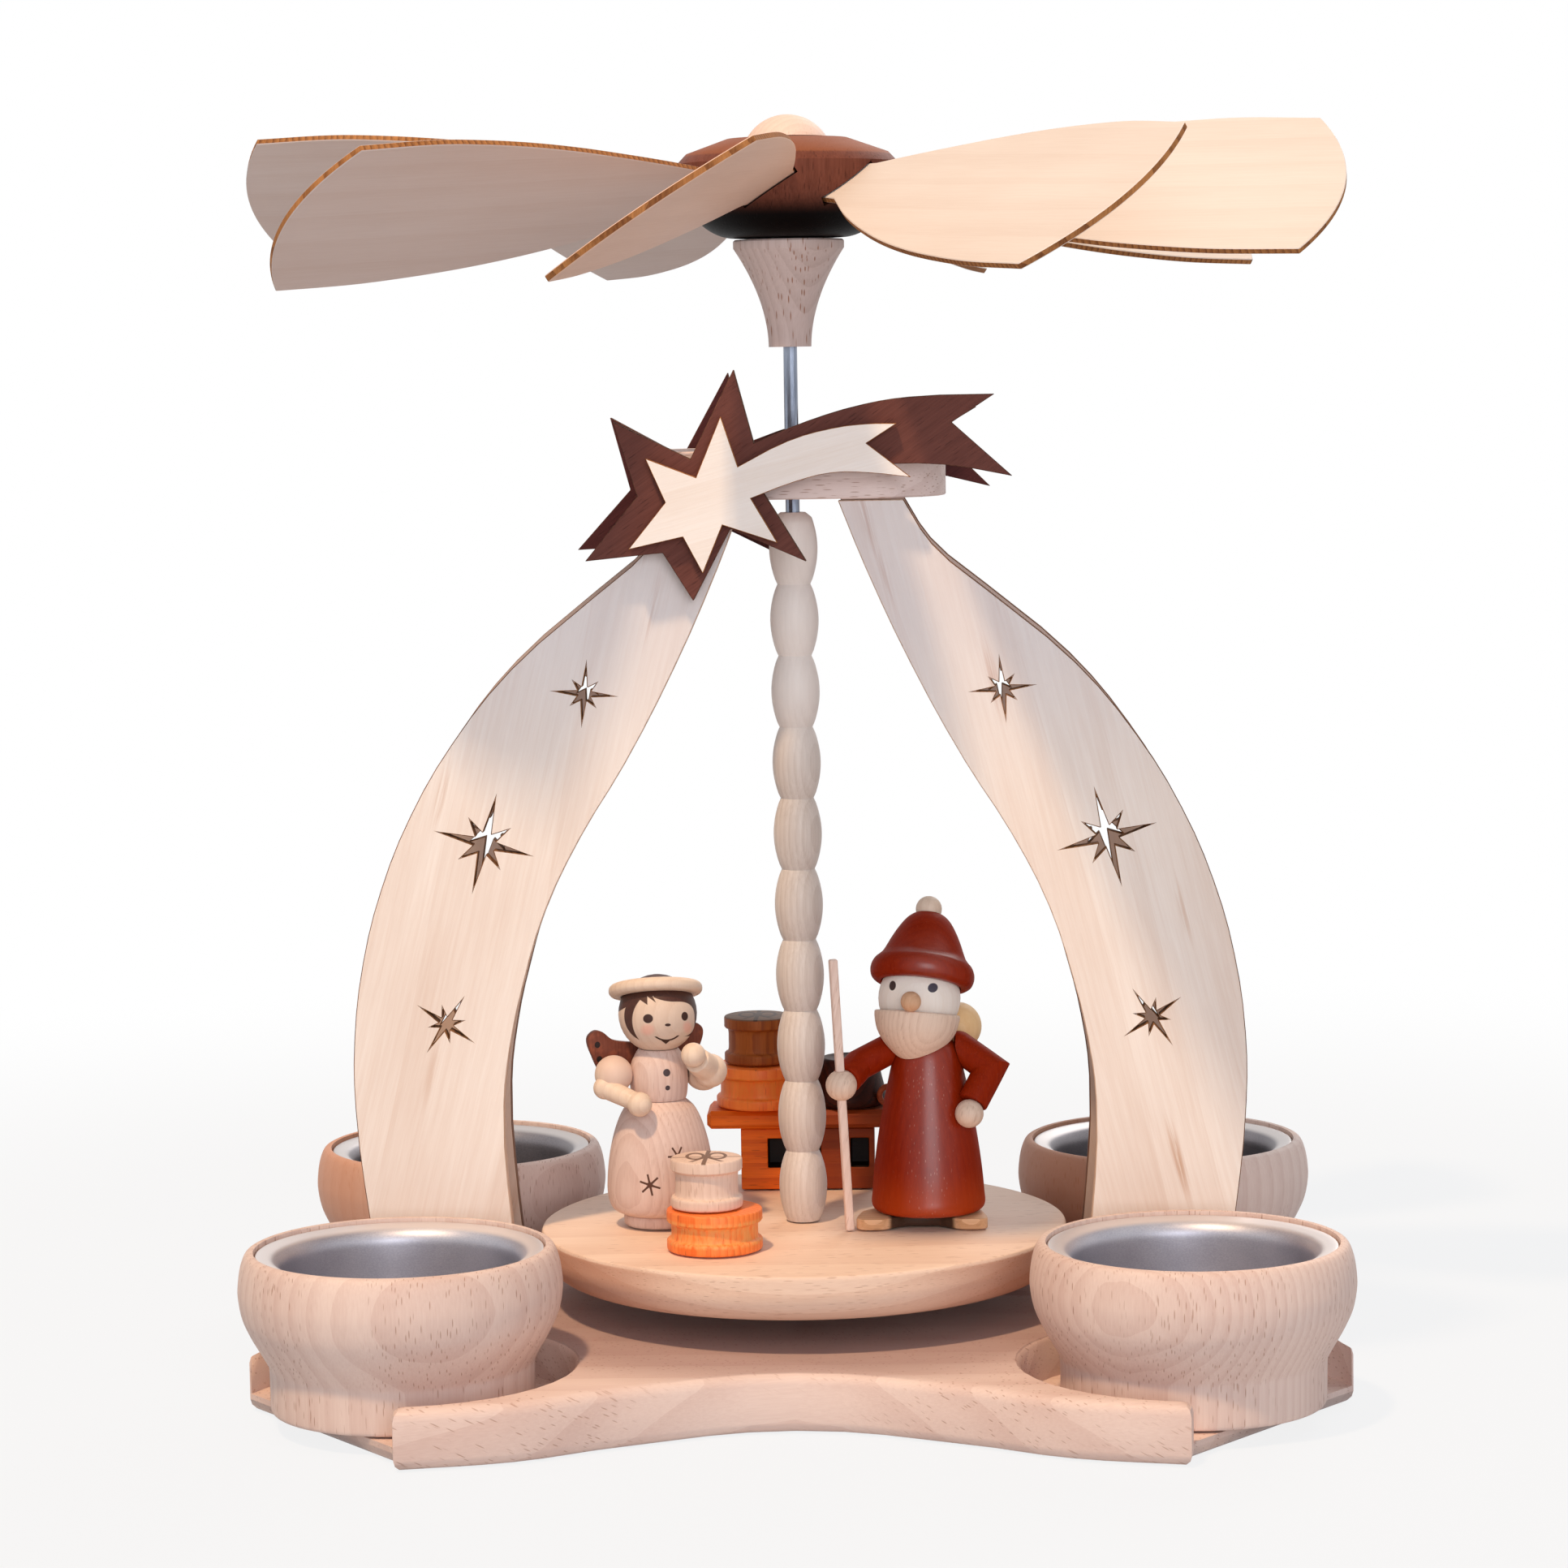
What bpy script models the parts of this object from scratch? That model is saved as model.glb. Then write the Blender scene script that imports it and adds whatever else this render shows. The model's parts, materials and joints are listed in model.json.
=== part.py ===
"""A small table Christmas pyramid: base board with four candle cups, two pairs
of arch plates, and a shaft that turns a column, a turntable with figures and
an eight-blade fan. Sizes are in millimetres and become metres on the way in.
The origin is the middle of the base board's underside, and -Y is the front."""

import math

import bmesh
import bpy
from mathutils import Matrix, Vector

MM = 0.001
MERGE = 0.00002

# Gaps between pieces that touch, and the running fit of the shaft
GAP = 0.3
RUNNING_FIT = 0.35

# Base board
BOARD_THICKNESS = 10.5
BOARD_HALF_WIDTH = 97.0
BOARD_HALF_DEPTH = 82.5
FRONT_FINGER_HALF = 66.2
FRONT_FINGER_TIP = 5.5
FRONT_FINGER_FLARE = 0.8
SIDE_FINGER_HALF = 38.5
FRONT_WAIST = 58.0
SIDE_WAIST = 86.0
BOARD_EDGE = 2.0
POCKET_RADIUS = 30.0
POCKET_EDGE = 0.8
POCKET_FLOOR = 3.0

# Candle cups and their trays
CUP_SPACING_X = 137.0
CUP_SPACING_Y = 98.0
CUP_HEIGHT = 28.0
CUP_FOOT_RADIUS = 22.9
CUP_WAIST_RADIUS = 23.1
CUP_WAIST_HEIGHT = 8.0
CUP_BELLY_RADIUS = 28.1
CUP_BELLY_HEIGHT = 20.5
CUP_RIM_RADIUS = 25.9
TRAY_FLANGE_RADIUS = 25.0
TRAY_OPENING_RADIUS = 20.8
TRAY_WALL = 0.6
TRAY_DEPTH = 14.3
TRAY_FUNNEL_DEPTH = 1.8
TRAY_BELOW_RIM = 0.7

# Arch plates
PLATE_THICKNESS = 3.0
PLATE_SPACING = 25.0
LEFT_BACK_SLIP = -1.2
RIGHT_BACK_SLIP = -0.3
ARCH_HEIGHT = 147.2
# Right-hand outline: distance from the middle, and height as a share of the arch's
ARCH_OUTER = [(20.2, 1.000), (25.2, 0.946), (35.2, 0.888), (50.5, 0.800), (61.3, 0.711),
              (69.2, 0.622), (74.8, 0.532), (78.4, 0.442), (80.3, 0.346), (80.4, 0.262),
              (78.2, 0.117), (75.4, 0.000)]
ARCH_INNER = [(50.4, 0.000), (52.4, 0.117), (53.4, 0.263), (52.0, 0.340), (49.5, 0.413),
              (45.3, 0.503), (38.7, 0.593), (30.5, 0.682), (21.1, 0.801), (13.2, 0.919),
              (8.5, 1.000)]
# Star cut-outs: distance, share of the height, long ray, short ray, notch, turn in degrees
STAR_CUTS = [(37.4, 0.770, 4.85, 2.8, 1.15, 5.5),
             (55.9, 0.588, 8.05, 4.9, 1.9, 15.0),
             (63.6, 0.366, 4.9, 2.95, 1.15, 34.5)]

# Crossbar and the comets on it
CROSSBAR_LENGTH = 55.5
CROSSBAR_DEPTH = 30.0
CROSSBAR_HEIGHT = 8.7
COMET_RISE = 0.6
COMET_DARK_THICKNESS = 3.0
COMET_LIGHT_THICKNESS = 2.0
BACK_COMET_SHIFT = -3.6
BACK_COMET_DROP = 1.1
BACK_COMET_TURN = -2.5
# Comet outlines: x from the shaft, height from COMET_RISE above the crossbar's underside.
# S marks a point on a smooth stretch, C a corner.
COMET_DARK = [(-9.5, 22.6, "C"), (-6.1, 9.6, "C"), (3.3, 13.3, "S"),
              (13.2, 16.1, "S"), (21.4, 17.3, "S"), (36.5, 17.6, "C"),
              (28.9, 12.7, "C"), (39.5, 3.1, "C"), (27.2, 5.3, "S"),
              (14.0, 5.3, "S"), (5.0, 4.2, "S"), (-4.6, 0.9, "C"), (2.9, -11.5, "C"),
              (-10.5, -5.5, "C"), (-17.3, -18.2, "C"), (-22.6, -9.6, "C"),
              (-36.4, -10.9, "C"), (-26.9, 0.5, "C"), (-31.0, 13.7, "C"),
              (-17.4, 6.9, "C")]
COMET_LIGHT = [(-11.8, 14.4, "C"), (-8.9, 5.5, "C"), (0.0, 9.9, "S"),
               (7.7, 12.0, "S"), (13.8, 12.7, "S"), (19.2, 12.7, "C"),
               (13.8, 9.3, "C"), (21.6, 3.2, "C"), (14.2, 4.1, "S"),
               (7.7, 4.2, "S"), (1.1, 2.7, "S"), (-6.7, -0.1, "C"),
               (-2.1, -8.0, "C"), (-11.8, -4.7, "C"), (-15.4, -13.2, "C"),
               (-18.8, -6.7, "C"), (-28.5, -8.8, "C"), (-21.8, -0.6, "C"),
               (-25.2, 7.2, "C"), (-16.3, 3.7, "C")]

# Shaft and its bearing
SHAFT_RADIUS = 1.25
BEARING_RADIUS = 4.0
BEARING_HEIGHT = 4.0
BEARING_CONE = 2.2

# Turntable and column
TABLE_CLEARANCE = 5.8
TABLE_RADIUS = 48.2
TABLE_BOTTOM_RADIUS = 42.0
TABLE_THICKNESS = 8.9
TABLE_RIM = 3.0
BEAD_COUNT = 10
COLUMN_BELOW_BAR = 2.8
BEAD_RADIUS = 4.4
BEAD_NECK_RADIUS = 3.1

# Fan
SOCKET_GAP_ABOVE_BAR = 18.3
SOCKET_HEIGHT = 19.2
SOCKET_TOP_RADIUS = 10.0
SOCKET_BOTTOM_RADIUS = 3.85
SOCKET_BAND = 1.4
SOCKET_BORE_DEPTH = 12.0
HUB_HEIGHT = 17.7
HUB_RADIUS = 19.9
HUB_SHOULDER_RADIUS = 18.2
HUB_TOP_RADIUS = 10.9
HUB_FOOT_RADIUS = 9.6
HUB_WIDEST = 13.3
HUB_SHOULDER = 15.1
KNOB_RADIUS = 7.1
KNOB_HEIGHT = 4.0
BLADE_PITCH = 33.8
FIRST_BLADE_AZIMUTH = -54.2
# How each blade is set by hand: turn about the shaft, extra pitch, and droop
BLADE_SETTINGS = [(0.6, 0.3, 2.2), (-2.0, 1.6, 0.3), (1.9, 1.0, 0.6), (-1.4, 0.3, 0.8),
                  (0.0, 0.0, 1.0), (1.8, -0.4, 0.2), (0.1, -0.7, 2.9), (-0.8, -2.1, 3.2)]
BLADE_THICKNESS = 1.2
BLADE_AXIS_HEIGHT = 9.5
BLADE_ROOT = 13.5
BLADE_CORNER = 94.1
BLADE_TIP = 100.5
# Blade edges: distance from the shaft, distance from the blade's middle line
BLADE_UPPER_EDGE = [(BLADE_ROOT, 5.4), (21.0, 6.0), (35.0, 10.1), (50.0, 13.9), (66.0, 16.8), (80.0, 18.0),
                    (BLADE_CORNER, 17.3)]
BLADE_LOWER_EDGE = [(BLADE_ROOT, 4.4), (21.0, 5.2), (35.0, 12.5), (50.0, 17.9), (66.0, 21.5), (80.0, 23.2),
                    (BLADE_CORNER, 23.6)]

# Angel, turned a little to the right
ANGEL_X = -26.1
ANGEL_Y = -2.0
ANGEL_TURN = 20.0
ANGEL_FOOT_RADIUS = 6.8
ANGEL_FOOT_HEIGHT = 2.3
ANGEL_SKIRT_RADIUS = 9.8
ANGEL_WAIST_RADIUS = 4.6
ANGEL_WAIST_HEIGHT = 22.9
ANGEL_BUST_RADIUS = 5.2
ANGEL_BUST_HEIGHT = 8.2
ANGEL_HEAD_RADIUS = 7.2
ANGEL_RING_RADIUS = 8.6
ANGEL_RING_THICKNESS = 2.4
ANGEL_RING_TILT = 13.0
SLEEVE_BALL_RADIUS = 3.5
ANGEL_HAND_RADIUS = 2.25
# Arm points from the bust's middle at shoulder height: elbow, wrist and hand, with
# the arm's radius at the elbow and the wrist
ANGEL_LEFT_ARM = [(-9.6, -4.6, -2.0), (-3.8, -8.0, -4.0), (-3.0, -8.6, -4.4)]
ANGEL_LEFT_ARM_RADII = (2.1, 1.85)
ANGEL_RIGHT_ARM = [(9.5, -1.0, 0.4), (7.3, -5.6, 3.2), (6.8, -7.0, 4.3)]
ANGEL_RIGHT_ARM_RADII = (3.1, 2.6)
WING_THICKNESS = 1.6
WING_TURN = 26.0
# Wing outline to one side of the middle: across, and height from the bust's foot
WING_OUTLINE = [(0.0, 9.6), (3.8, 9.9), (6.7, 10.6), (8.6, 12.1), (10.0, 12.4), (11.3, 11.4),
                (11.4, 10.0), (10.6, 7.8), (9.4, 5.2), (7.2, 2.8), (4.0, 2.4), (0.0, 3.4)]

# Gift-bringer
SANTA_X = 23.0
SANTA_Y = -2.6
SHOE_THICKNESS = 2.0
SHOE_HALF_WIDTH = 11.9
SHOE_GAP_HALF = 6.0
SHOE_REACH = 8.1
COAT_RADIUS = 10.4
COAT_NECK_RADIUS = 5.4
COAT_HEIGHT = 31.2
SANTA_HEAD_RADIUS = 7.5
SANTA_HEAD_SHIFT = -1.2
BEARD_RADIUS = 7.8
BEARD_DEPTH = 9.3
BEARD_FORWARD = 1.8
BEARD_BELOW_EYES = 2.4
BEARD_TILT = 10.0
BEARD_SIDE_TILT = 5.0
BEARD_BACK = 0.5
NOSE_RADIUS = 1.85
HAT_RADIUS = 9.55
HAT_BRIM = 2.4
HAT_TOP = 16.2
HAT_TILT_BACK = 20.0
HAT_TILT_SIDE = 7.0
POM_RADIUS = 2.4
SLEEVE_RADIUS = 2.8
RIGHT_HAND_RADIUS = 2.6
LEFT_HAND_RADIUS = 2.85
# Arm points from the coat's middle at shoulder height: shoulder, elbow, wrist, hand
SANTA_RIGHT_ARM = [(5.9, 0.2, -0.2), (11.5, -2.0, -4.0), (8.2, -5.3, -9.7), (7.6, -6.9, -11.4)]
SANTA_LEFT_ARM = [(-6.5, 0.2, -0.4), (-12.4, -2.2, -3.1), (-14.6, -5.8, -5.1), (-15.5, -7.4, -5.9)]
STAFF_RADIUS = 0.9
STAFF_LENGTH = 49.6
STAFF_LEAN = 1.2
SACK_RADIUS = 4.5
SACK_RISE = 2.3
SACK_AZIMUTH = 54.0

# Presents and the sledge behind the column
DRUM_RADIUS = 8.55
FRONT_DRUM_HEIGHT = 7.3
REAR_DRUM_HEIGHT = 8.0
BOX_RADIUS = 6.4
BOX_HEIGHT = 8.9
FRONT_BOX_SHIFT = -1.3
REAR_BOX_SHIFT = -0.5
PRESENT_BAND = 2.2
PRESENT_GROOVE = 0.7
FRONT_PRESENT_X = -15.1
FRONT_PRESENT_Y = -25.0
REAR_PRESENT_X = -8.8
REAR_PRESENT_Y = 32.6
SLEDGE_Y = 32.6
SLEDGE_LENGTH = 38.0
SLEDGE_DEPTH = 13.0
SLEDGE_BOARD = 3.4
STAND_LENGTH = 25.4
STAND_DEPTH = 8.0
STAND_HEIGHT = 11.8
WINDOW_DEPTH = 5.0
BASKET_RADIUS = 7.2
BASKET_TOP_RADIUS = 5.4
BASKET_HEIGHT = 9.0
RING_RADIUS = 1.65
RING_WIRE = 0.65


# Levels that follow from the sizes above
BOARD_TOP = BOARD_THICKNESS
ARCH_FOOT = BOARD_TOP + GAP
CROSSBAR_BOTTOM = ARCH_FOOT + ARCH_HEIGHT + GAP
CROSSBAR_TOP = CROSSBAR_BOTTOM + CROSSBAR_HEIGHT
TABLE_BOTTOM = BOARD_TOP + TABLE_CLEARANCE
TABLE_TOP = TABLE_BOTTOM + TABLE_THICKNESS
STANDING = TABLE_TOP + GAP
COLUMN_TOP = CROSSBAR_BOTTOM - COLUMN_BELOW_BAR
BEAD_LENGTH = (COLUMN_TOP - STANDING) / BEAD_COUNT
SHAFT_TIP = BOARD_TOP - BEARING_CONE + 1.4 * GAP
SOCKET_BOTTOM = CROSSBAR_TOP + SOCKET_GAP_ABOVE_BAR
SOCKET_TOP = SOCKET_BOTTOM + SOCKET_HEIGHT
SHAFT_TOP = SOCKET_BOTTOM + SOCKET_BORE_DEPTH - GAP
HUB_BOTTOM = SOCKET_TOP + GAP
HUB_TOP = HUB_BOTTOM + HUB_HEIGHT
SHAFT_BORE = SHAFT_RADIUS + RUNNING_FIT
TRAY_BEND_RADIUS = (TRAY_FLANGE_RADIUS + TRAY_OPENING_RADIUS) / 2.0

BEECH = ("beech", (0.76, 0.56, 0.42), 0.6, 0.0)
PALE_BEECH = ("pale_beech", (0.80, 0.64, 0.50), 0.6, 0.0)
ALDER = ("alder", (0.80, 0.66, 0.53), 0.6, 0.0)
PLYWOOD = ("birch_plywood", (0.84, 0.70, 0.55), 0.6, 0.0)
WALNUT = ("walnut_stain", (0.16, 0.06, 0.04), 0.5, 0.0)
MAPLE = ("maple", (0.86, 0.77, 0.66), 0.6, 0.0)
ALUMINIUM = ("satin_aluminium", (0.55, 0.55, 0.56), 0.35, 1.0)
STEEL = ("steel", (0.35, 0.35, 0.36), 0.3, 1.0)
RED_BROWN = ("red_brown_paint", (0.25, 0.06, 0.035), 0.45, 0.0)
ORANGE = ("orange_stain", (0.78, 0.20, 0.05), 0.55, 0.0)
RUST = ("rust_stain", (0.42, 0.14, 0.04), 0.55, 0.0)
YELLOW = ("pale_yellow", (0.80, 0.62, 0.32), 0.6, 0.0)


def clear_scene():
    for scene_object in list(bpy.data.objects):
        bpy.data.objects.remove(scene_object, do_unlink=True)


def collection(name):
    found = bpy.data.collections.get(name)
    if found is None:
        found = bpy.data.collections.new(name)
        bpy.context.scene.collection.children.link(found)
    return found


def finish_for(spec):
    name, colour, roughness, metallic = spec
    found = bpy.data.materials.get(name)
    if found is None:
        found = bpy.data.materials.new(name)
        found.use_nodes = True
        shader = found.node_tree.nodes["Principled BSDF"]
        shader.inputs["Base Color"].default_value = (*colour, 1.0)
        shader.inputs["Roughness"].default_value = roughness
        shader.inputs["Metallic"].default_value = metallic
        found.diffuse_color = (*colour, 1.0)
    return found


def add_part(name, data, spec):
    part = bpy.data.objects.new(name, data)
    collection("christmas_pyramid").objects.link(part)
    data.materials.append(finish_for(spec))
    return part


def make_cutter(cutter):
    for owner in list(cutter.users_collection):
        owner.objects.unlink(cutter)
    collection("cutters").objects.link(cutter)
    cutter.hide_render = True
    cutter.display_type = "WIRE"
    return cutter


def place(part, x, y, z):
    part.location = (x * MM, y * MM, z * MM)
    return part


def boolean(part, other, operation):
    modifier = part.modifiers.new(operation.title(), "BOOLEAN")
    modifier.operation = operation
    modifier.object = make_cutter(other)
    return part


def turned(name, profile, spec, steps=24, closed=False):
    """A turned piece: profile is (radius, height) down its outer side."""
    mesh = bpy.data.meshes.new(name)
    points = [(radius * MM, 0.0, height * MM) for radius, height in profile]
    edges = [(index, index + 1) for index in range(len(points) - 1)]
    if closed:
        edges.append((len(points) - 1, 0))
    mesh.from_pydata(points, edges, [])
    part = add_part(name, mesh, spec)
    screw = part.modifiers.new("Turn", "SCREW")
    screw.axis = "Z"
    screw.steps = steps
    screw.render_steps = steps
    screw.use_merge_vertices = True
    screw.merge_threshold = MERGE
    return part


def ball_profile(radius, centre, steps, top_cut=0.0, bottom_cut=0.0):
    """A ball's profile, flattened where top_cut and bottom_cut say."""
    points = []
    top = math.asin(max(-1.0, min(1.0, 1.0 - top_cut / radius)))
    low = math.asin(max(-1.0, min(1.0, 1.0 - bottom_cut / radius)))
    if top_cut > 0.0:
        points.append((0.0, centre + radius - top_cut))
    for index in range(steps + 1):
        angle = top - (top + low) * index / steps
        across = radius * math.cos(angle)
        points.append((across if across > 1e-6 else 0.0, centre + radius * math.sin(angle)))
    if bottom_cut > 0.0:
        points.append((0.0, centre - radius + bottom_cut))
    return points


def ball(name, radius, spec, rings=8, segments=14):
    return turned(name, ball_profile(radius, 0.0, rings), spec, segments)


def outline_curve(name, outlines, thickness, spec, resolution=3):
    """A flat plate in its own XY plane. An outline is (x, y, kind) points:
    S lies on a smooth stretch, C is a corner."""
    curve = bpy.data.curves.new(name, "CURVE")
    curve.dimensions = "2D"
    curve.fill_mode = "BOTH"
    curve.extrude = thickness / 2.0 * MM
    curve.resolution_u = resolution
    curve.render_resolution_u = resolution
    for outline in outlines:
        smooth = any(point[2] == "S" for point in outline)
        spline = curve.splines.new("BEZIER" if smooth else "POLY")
        spline.use_cyclic_u = True
        if not smooth:
            spline.points.add(len(outline) - 1)
            for target, (x, y, _) in zip(spline.points, outline):
                target.co = (x * MM, y * MM, 0.0, 1.0)
            continue
        spline.bezier_points.add(len(outline) - 1)
        for target, (x, y, kind) in zip(spline.bezier_points, outline):
            target.co = (x * MM, y * MM, 0.0)
            handle = "AUTO" if kind == "S" else "VECTOR"
            target.handle_left_type = handle
            target.handle_right_type = handle
    return add_part(name, curve, spec)


def curve_to_mesh(part):
    """Swap a curve object for the mesh that it draws, with its caps welded."""
    bpy.context.view_layer.update()
    graph = bpy.context.evaluated_depsgraph_get()
    mesh = bpy.data.meshes.new_from_object(part.evaluated_get(graph))
    welded = bmesh.new()
    welded.from_mesh(mesh)
    bmesh.ops.remove_doubles(welded, verts=welded.verts, dist=MERGE)
    bmesh.ops.recalc_face_normals(welded, faces=welded.faces)
    welded.to_mesh(mesh)
    welded.free()
    name = part.name
    matrix = part.matrix_world.copy()
    owner = part.users_collection[0]
    bpy.data.objects.remove(part)
    solid = bpy.data.objects.new(name, mesh)
    owner.objects.link(solid)
    solid.matrix_world = matrix
    return solid


def stand_up(part, x, y, z, lean=0.0):
    """Turn a plate from its XY plane into the XZ plane, facing the front."""
    part.rotation_euler = (math.radians(90.0), 0.0, 0.0)
    if lean:
        part.rotation_euler = (math.radians(90.0), math.radians(-lean), 0.0)
    return place(part, x, y, z)


def star(x, y, long_ray, short_ray, notch, turn):
    """Eight rays, four long and four short; turn is clockwise in degrees."""
    points = []
    for index in range(16):
        angle = math.radians(90.0 - turn - index * 22.5)
        radius = notch
        if index % 4 == 0:
            radius = long_ray
        elif index % 4 == 2:
            radius = short_ray
        points.append((x + radius * math.cos(angle), y + radius * math.sin(angle), "C"))
    return points


def block(name, size, centre, spec):
    mesh = bpy.data.meshes.new(name)
    solid = bmesh.new()
    bmesh.ops.create_cube(solid, size=1.0)
    bmesh.ops.scale(solid, vec=[length * MM for length in size], verts=solid.verts)
    solid.to_mesh(mesh)
    solid.free()
    return place(add_part(name, mesh, spec), *centre)


def rod(name, start, end, radius, spec, segments=10):
    """A plain cylinder from start to end."""
    start = Vector(start)
    end = Vector(end)
    length = (end - start).length
    part = turned(name, [(0.0, length), (radius, length), (radius, 0.0), (0.0, 0.0)], spec, segments)
    part.rotation_mode = "QUATERNION"
    part.rotation_quaternion = (end - start).to_track_quat("Z", "Y")
    return place(part, *start)


def bent_sleeve(name, points, radius, spec):
    """A sleeve along shoulder, elbow and wrist, mitred at the elbow."""
    curve = bpy.data.curves.new(name, "CURVE")
    curve.dimensions = "3D"
    curve.bevel_depth = radius * MM
    curve.bevel_resolution = 2
    curve.use_fill_caps = True
    spline = curve.splines.new("POLY")
    spline.points.add(len(points) - 1)
    for target, point in zip(spline.points, points):
        target.co = (*(value * MM for value in point), 1.0)
    for index in range(1, len(points) - 1):
        before = (Vector(points[index]) - Vector(points[index - 1])).normalized()
        after = (Vector(points[index + 1]) - Vector(points[index])).normalized()
        half_bend = before.angle(after) / 2.0
        spline.points[index].radius = 1.0 / math.cos(half_bend)
    return add_part(name, curve, spec)


def base_board():
    """X-shaped board whose corner pockets open to the outside."""
    front = [(FRONT_FINGER_HALF, BOARD_HALF_DEPTH, "C")]
    for across, share in ((0.70, 0.80), (0.43, 0.40)):
        front.append((FRONT_FINGER_HALF * across,
                      FRONT_WAIST + (BOARD_HALF_DEPTH - FRONT_WAIST) * share, "S"))
    front.insert(0, (FRONT_FINGER_HALF + FRONT_FINGER_FLARE, BOARD_HALF_DEPTH - FRONT_FINGER_TIP, "C"))
    side = [(BOARD_HALF_WIDTH, SIDE_FINGER_HALF, "C")]
    side.append((SIDE_WAIST + (BOARD_HALF_WIDTH - SIDE_WAIST) * 0.55,
                 SIDE_FINGER_HALF * 0.60, "S"))
    quarter = [(0.0, FRONT_WAIST, "S")] + front[::-1] + side + [(SIDE_WAIST, 0.0, "S")]
    right = quarter + [(x, -y, kind) for x, y, kind in quarter[-2::-1]]
    outline = right + [(-x, y, kind) for x, y, kind in right[-2:0:-1]]
    flat = outline_curve("base_board", [outline], BOARD_THICKNESS, BEECH, 4)
    flat.data.extrude = (BOARD_THICKNESS / 2.0 - BOARD_EDGE) * MM
    flat.data.bevel_depth = BOARD_EDGE * MM
    flat.data.bevel_resolution = 2
    flat.data.offset = -BOARD_EDGE * MM
    board = curve_to_mesh(place(flat, 0.0, 0.0, BOARD_THICKNESS / 2.0))
    hollows = turned("bearing_seat", [
        (0.0, BOARD_TOP + 1.0), (BEARING_RADIUS + GAP, BOARD_TOP + 1.0),
        (BEARING_RADIUS + GAP, BOARD_TOP - BEARING_HEIGHT - GAP),
        (0.0, BOARD_TOP - BEARING_HEIGHT - GAP)], BEECH, 16)
    for index, (x, y) in enumerate(cup_places()):
        pocket = turned("pocket_%d" % index, [
            (0.0, BOARD_TOP + 1.0), (POCKET_RADIUS + POCKET_EDGE, BOARD_TOP + 1.0),
            (POCKET_RADIUS + POCKET_EDGE, BOARD_TOP), (POCKET_RADIUS, BOARD_TOP - POCKET_EDGE),
            (POCKET_RADIUS, POCKET_FLOOR), (0.0, POCKET_FLOOR)], BEECH, 40)
        boolean(hollows, place(pocket, x, y, 0.0), "UNION")
    boolean(board, hollows, "DIFFERENCE")


def cup_places():
    across = CUP_SPACING_X / 2.0
    along = CUP_SPACING_Y / 2.0
    return [(-across, -along), (across, -along), (-across, along), (across, along)]


CUP_NAMES = ["front_left", "front_right", "back_left", "back_right"]


def cup_profile():
    flange_seat = CUP_HEIGHT - TRAY_BELOW_RIM - TRAY_WALL - GAP
    bore = TRAY_BEND_RADIUS + GAP
    bore_floor = CUP_HEIGHT - TRAY_BELOW_RIM - TRAY_DEPTH - TRAY_WALL - GAP
    inner_rim = TRAY_FLANGE_RADIUS + GAP
    points = [(0.0, bore_floor), (bore, bore_floor), (bore, flange_seat),
              (inner_rim, flange_seat), (inner_rim, CUP_HEIGHT), (CUP_RIM_RADIUS, CUP_HEIGHT)]
    for step in range(1, 4):
        angle = math.radians(90.0 - step * 30.0)
        points.append((CUP_RIM_RADIUS + (CUP_BELLY_RADIUS - CUP_RIM_RADIUS) * math.cos(angle),
                       CUP_BELLY_HEIGHT + (CUP_HEIGHT - CUP_BELLY_HEIGHT) * math.sin(angle)))
    for step in range(1, 6):
        share = 1.0 - step / 5.0
        swell = math.sin(share * math.pi / 2.0) ** 1.2
        points.append((CUP_WAIST_RADIUS + (CUP_BELLY_RADIUS - CUP_WAIST_RADIUS) * swell,
                       CUP_WAIST_HEIGHT + (CUP_BELLY_HEIGHT - CUP_WAIST_HEIGHT) * share))
    points += [(CUP_FOOT_RADIUS, 0.8), (CUP_FOOT_RADIUS - 0.7, 0.0), (0.0, 0.0)]
    return points


def tray_profile():
    """Height 0 is the flange's top."""
    opening = TRAY_OPENING_RADIUS
    funnel = TRAY_FUNNEL_DEPTH
    flat = TRAY_BEND_RADIUS
    return [(0.0, -TRAY_DEPTH), (opening, -TRAY_DEPTH), (opening, -funnel),
            (opening + (flat - opening) * 0.35, -funnel * 0.35), (flat, 0.0),
            (TRAY_FLANGE_RADIUS, 0.0), (TRAY_FLANGE_RADIUS, -TRAY_WALL),
            (flat - TRAY_WALL * 0.4, -TRAY_WALL),
            (opening + TRAY_WALL, -funnel - TRAY_WALL * 0.3),
            (opening + TRAY_WALL, -TRAY_DEPTH - TRAY_WALL), (0.0, -TRAY_DEPTH - TRAY_WALL)]


def candle_cups():
    foot = POCKET_FLOOR + GAP
    for name, (x, y) in zip(CUP_NAMES, cup_places()):
        place(turned("candle_cup_" + name, cup_profile(), BEECH, 26), x, y, foot)
        tray = turned("candle_tray_" + name, tray_profile(), ALUMINIUM, 26)
        place(tray, x, y, foot + CUP_HEIGHT - TRAY_BELOW_RIM)


def arches():
    right = []
    for edge in (ARCH_OUTER, ARCH_INNER):
        right += [(x, share * ARCH_HEIGHT, "C" if index in (0, len(edge) - 1) else "S")
                  for index, (x, share) in enumerate(edge)]
    for side, name, slip in ((1.0, "right", RIGHT_BACK_SLIP), (-1.0, "left", LEFT_BACK_SLIP)):
        outline = [(side * x, z, kind) for x, z, kind in right]
        stars = [star(side * x, share * ARCH_HEIGHT, long_ray, short_ray, notch, -side * turn)
                 for x, share, long_ray, short_ray, notch, turn in STAR_CUTS]
        for depth, end, sideways in ((-1.0, "front", 0.0), (1.0, "back", slip)):
            plate = outline_curve("arch_%s_%s" % (name, end), [outline] + stars,
                                  PLATE_THICKNESS, ALDER, 3)
            stand_up(plate, sideways, depth * PLATE_SPACING / 2.0, ARCH_FOOT)


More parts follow.
